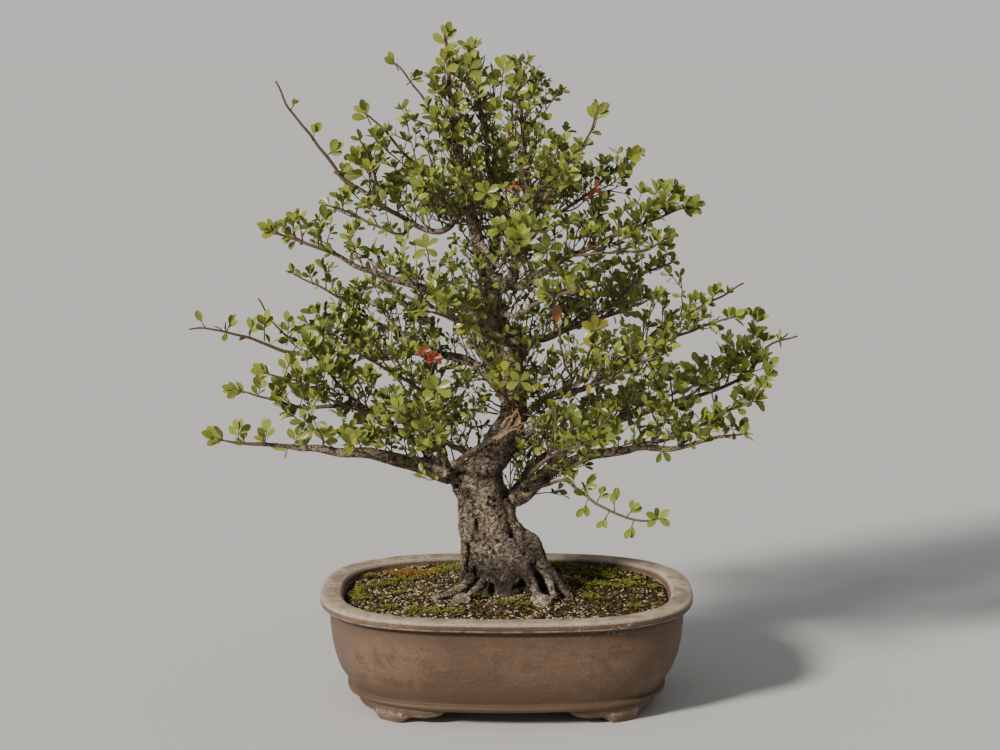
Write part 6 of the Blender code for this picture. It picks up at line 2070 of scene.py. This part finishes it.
def studio_world():
    """Soft light from all round, seen by the camera in the tone that the lit floor has far away."""
    world = bpy.data.worlds.new("studio")
    world.use_nodes = True
    tree = world.node_tree
    lit = SUN_STRENGTH * SUN_FROM.normalized().z / math.pi + SKY_LIGHT
    seen_sky = tree.nodes["Background"]
    seen_sky.inputs["Color"].default_value = (*[tone * lit for tone in FLOOR_TONE], 1)
    soft_light = tree.nodes.new("ShaderNodeBackground")
    soft_light.inputs["Color"].default_value = (*SKY_TONE, 1)
    soft_light.inputs["Strength"].default_value = SKY_LIGHT
    path = tree.nodes.new("ShaderNodeLightPath")
    choice = tree.nodes.new("ShaderNodeMixShader")
    tree.links.new(path.outputs["Is Camera Ray"], choice.inputs["Fac"])
    tree.links.new(soft_light.outputs["Background"], choice.inputs[1])
    tree.links.new(seen_sky.outputs["Background"], choice.inputs[2])
    tree.links.new(choice.outputs["Shader"], tree.nodes["World Output"].inputs["Surface"])
    return world


def build_stage():
    """A pale floor, a soft sun, a pale surrounding and the camera at the photograph's viewing angle."""
    floor = primitive(
        "circle", vertices=96, radius=FLOOR_RADIUS, fill_type="NGON", location=(0, 0, -FLOOR_DROP))
    floor.name = "studio_floor"
    floor.data.materials.append(floor_finish())
    aim = Vector((-MIDDLE_ACROSS, -MIDDLE_BACK, EYE_HEIGHT_AIM)) * MM
    bpy.ops.object.light_add(type="SUN", location=SUN_FROM)
    sun = bpy.context.active_object
    sun.name = "studio_sun"
    sun.data.energy = SUN_STRENGTH
    sun.data.angle = SUN_SPREAD
    sun.data.color = SUN_TONE
    sun.rotation_euler = SUN_FROM.to_track_quat("Z", "Y").to_euler()
    bpy.context.scene.world = studio_world()
    back = Vector((0, -math.cos(EYE_PITCH), math.sin(EYE_PITCH)))
    bpy.ops.object.camera_add(location=aim + back * EYE_DISTANCE * MM)
    camera = bpy.context.active_object
    camera.rotation_euler = (-back).to_track_quat("-Z", "Y").to_euler()
    camera.data.lens = LENS
    camera.data.sensor_width = FILM_WIDTH
    bpy.context.scene.camera = camera


class BonsaiOperator:
    """What the bonsai's operators share: each one runs its `build`."""

    bl_options = {"REGISTER", "UNDO"}

    def execute(self, context):
        self.build()
        return {"FINISHED"}


class BONSAI_OT_stage(BonsaiOperator, bpy.types.Operator):
    """Add the pale floor, the lamps and the camera"""

    bl_idname = "bonsai.add_stage"
    bl_label = "Stage"
    build = staticmethod(build_stage)


class BONSAI_OT_pot(BonsaiOperator, bpy.types.Operator):
    """Add the unglazed stoneware pot with its scroll feet"""

    bl_idname = "bonsai.add_pot"
    bl_label = "Pot"
    build = staticmethod(build_pot)


class BONSAI_OT_screens(BonsaiOperator, bpy.types.Operator):
    """Add the nets over the drain holes"""

    bl_idname = "bonsai.add_screens"
    bl_label = "Drain nets"
    build = staticmethod(build_screens)


class BONSAI_OT_soil(BonsaiOperator, bpy.types.Operator):
    """Add the bed of soil"""

    bl_idname = "bonsai.add_soil"
    bl_label = "Soil"
    build = staticmethod(build_soil)


class BONSAI_OT_grains(BonsaiOperator, bpy.types.Operator):
    """Add the loose grit on the soil"""

    bl_idname = "bonsai.add_grains"
    bl_label = "Grit"
    build = staticmethod(build_grains)


class BONSAI_OT_moss(BonsaiOperator, bpy.types.Operator):
    """Add the moss on the soil"""

    bl_idname = "bonsai.add_moss"
    bl_label = "Moss"
    build = staticmethod(build_moss)


class BONSAI_OT_stones(BonsaiOperator, bpy.types.Operator):
    """Add the pale stones at the trunk's foot"""

    bl_idname = "bonsai.add_stones"
    bl_label = "Stones"
    build = staticmethod(build_stones)


class BONSAI_OT_wood(BonsaiOperator, bpy.types.Operator):
    """Add the trunk, the roots and the limbs with their bark"""

    bl_idname = "bonsai.add_wood"
    bl_label = "Trunk and limbs"
    build = staticmethod(build_wood)


class BONSAI_OT_shoots(BonsaiOperator, bpy.types.Operator):
    """Add the twigs, the leaves and the leaves that fell on the soil"""

    bl_idname = "bonsai.add_shoots"
    bl_label = "Twigs and leaves"
    build = staticmethod(build_foliage)


OPERATORS = (
    BONSAI_OT_stage, BONSAI_OT_pot, BONSAI_OT_screens, BONSAI_OT_soil, BONSAI_OT_grains, BONSAI_OT_moss,
    BONSAI_OT_stones, BONSAI_OT_wood, BONSAI_OT_shoots,
)


class BONSAI_PT_finish(bpy.types.Panel):
    """Lists the bonsai's pieces, sizes and colours"""

    bl_idname = "BONSAI_PT_finish"
    bl_label = "Bonsai"
    bl_space_type = "VIEW_3D"
    bl_region_type = "UI"
    bl_category = "Bonsai"

    def draw(self, context):
        for operator in OPERATORS:
            self.layout.operator(operator.bl_idname)
        for group in (context.scene.bonsai_sizes, context.scene.bonsai_colours):
            box = self.layout.box()
            for name in group.bl_rna.properties.keys():
                if name not in ("rna_type", "name"):
                    box.prop(group, name)


CLASSES = (BonsaiSizes, BonsaiColours, *OPERATORS, BONSAI_PT_finish)


def register():
    for each in CLASSES:
        bpy.utils.register_class(each)
    bpy.types.Scene.bonsai_sizes = PointerProperty(type=BonsaiSizes)
    bpy.types.Scene.bonsai_colours = PointerProperty(type=BonsaiColours)


def unregister():
    del bpy.types.Scene.bonsai_colours
    del bpy.types.Scene.bonsai_sizes
    for each in reversed(CLASSES):
        bpy.utils.unregister_class(each)


def main():
    register()
    for operator in OPERATORS:
        group, name = operator.bl_idname.split(".")
        getattr(getattr(bpy.ops, group), name)()


if __name__ == "__main__":
    main()
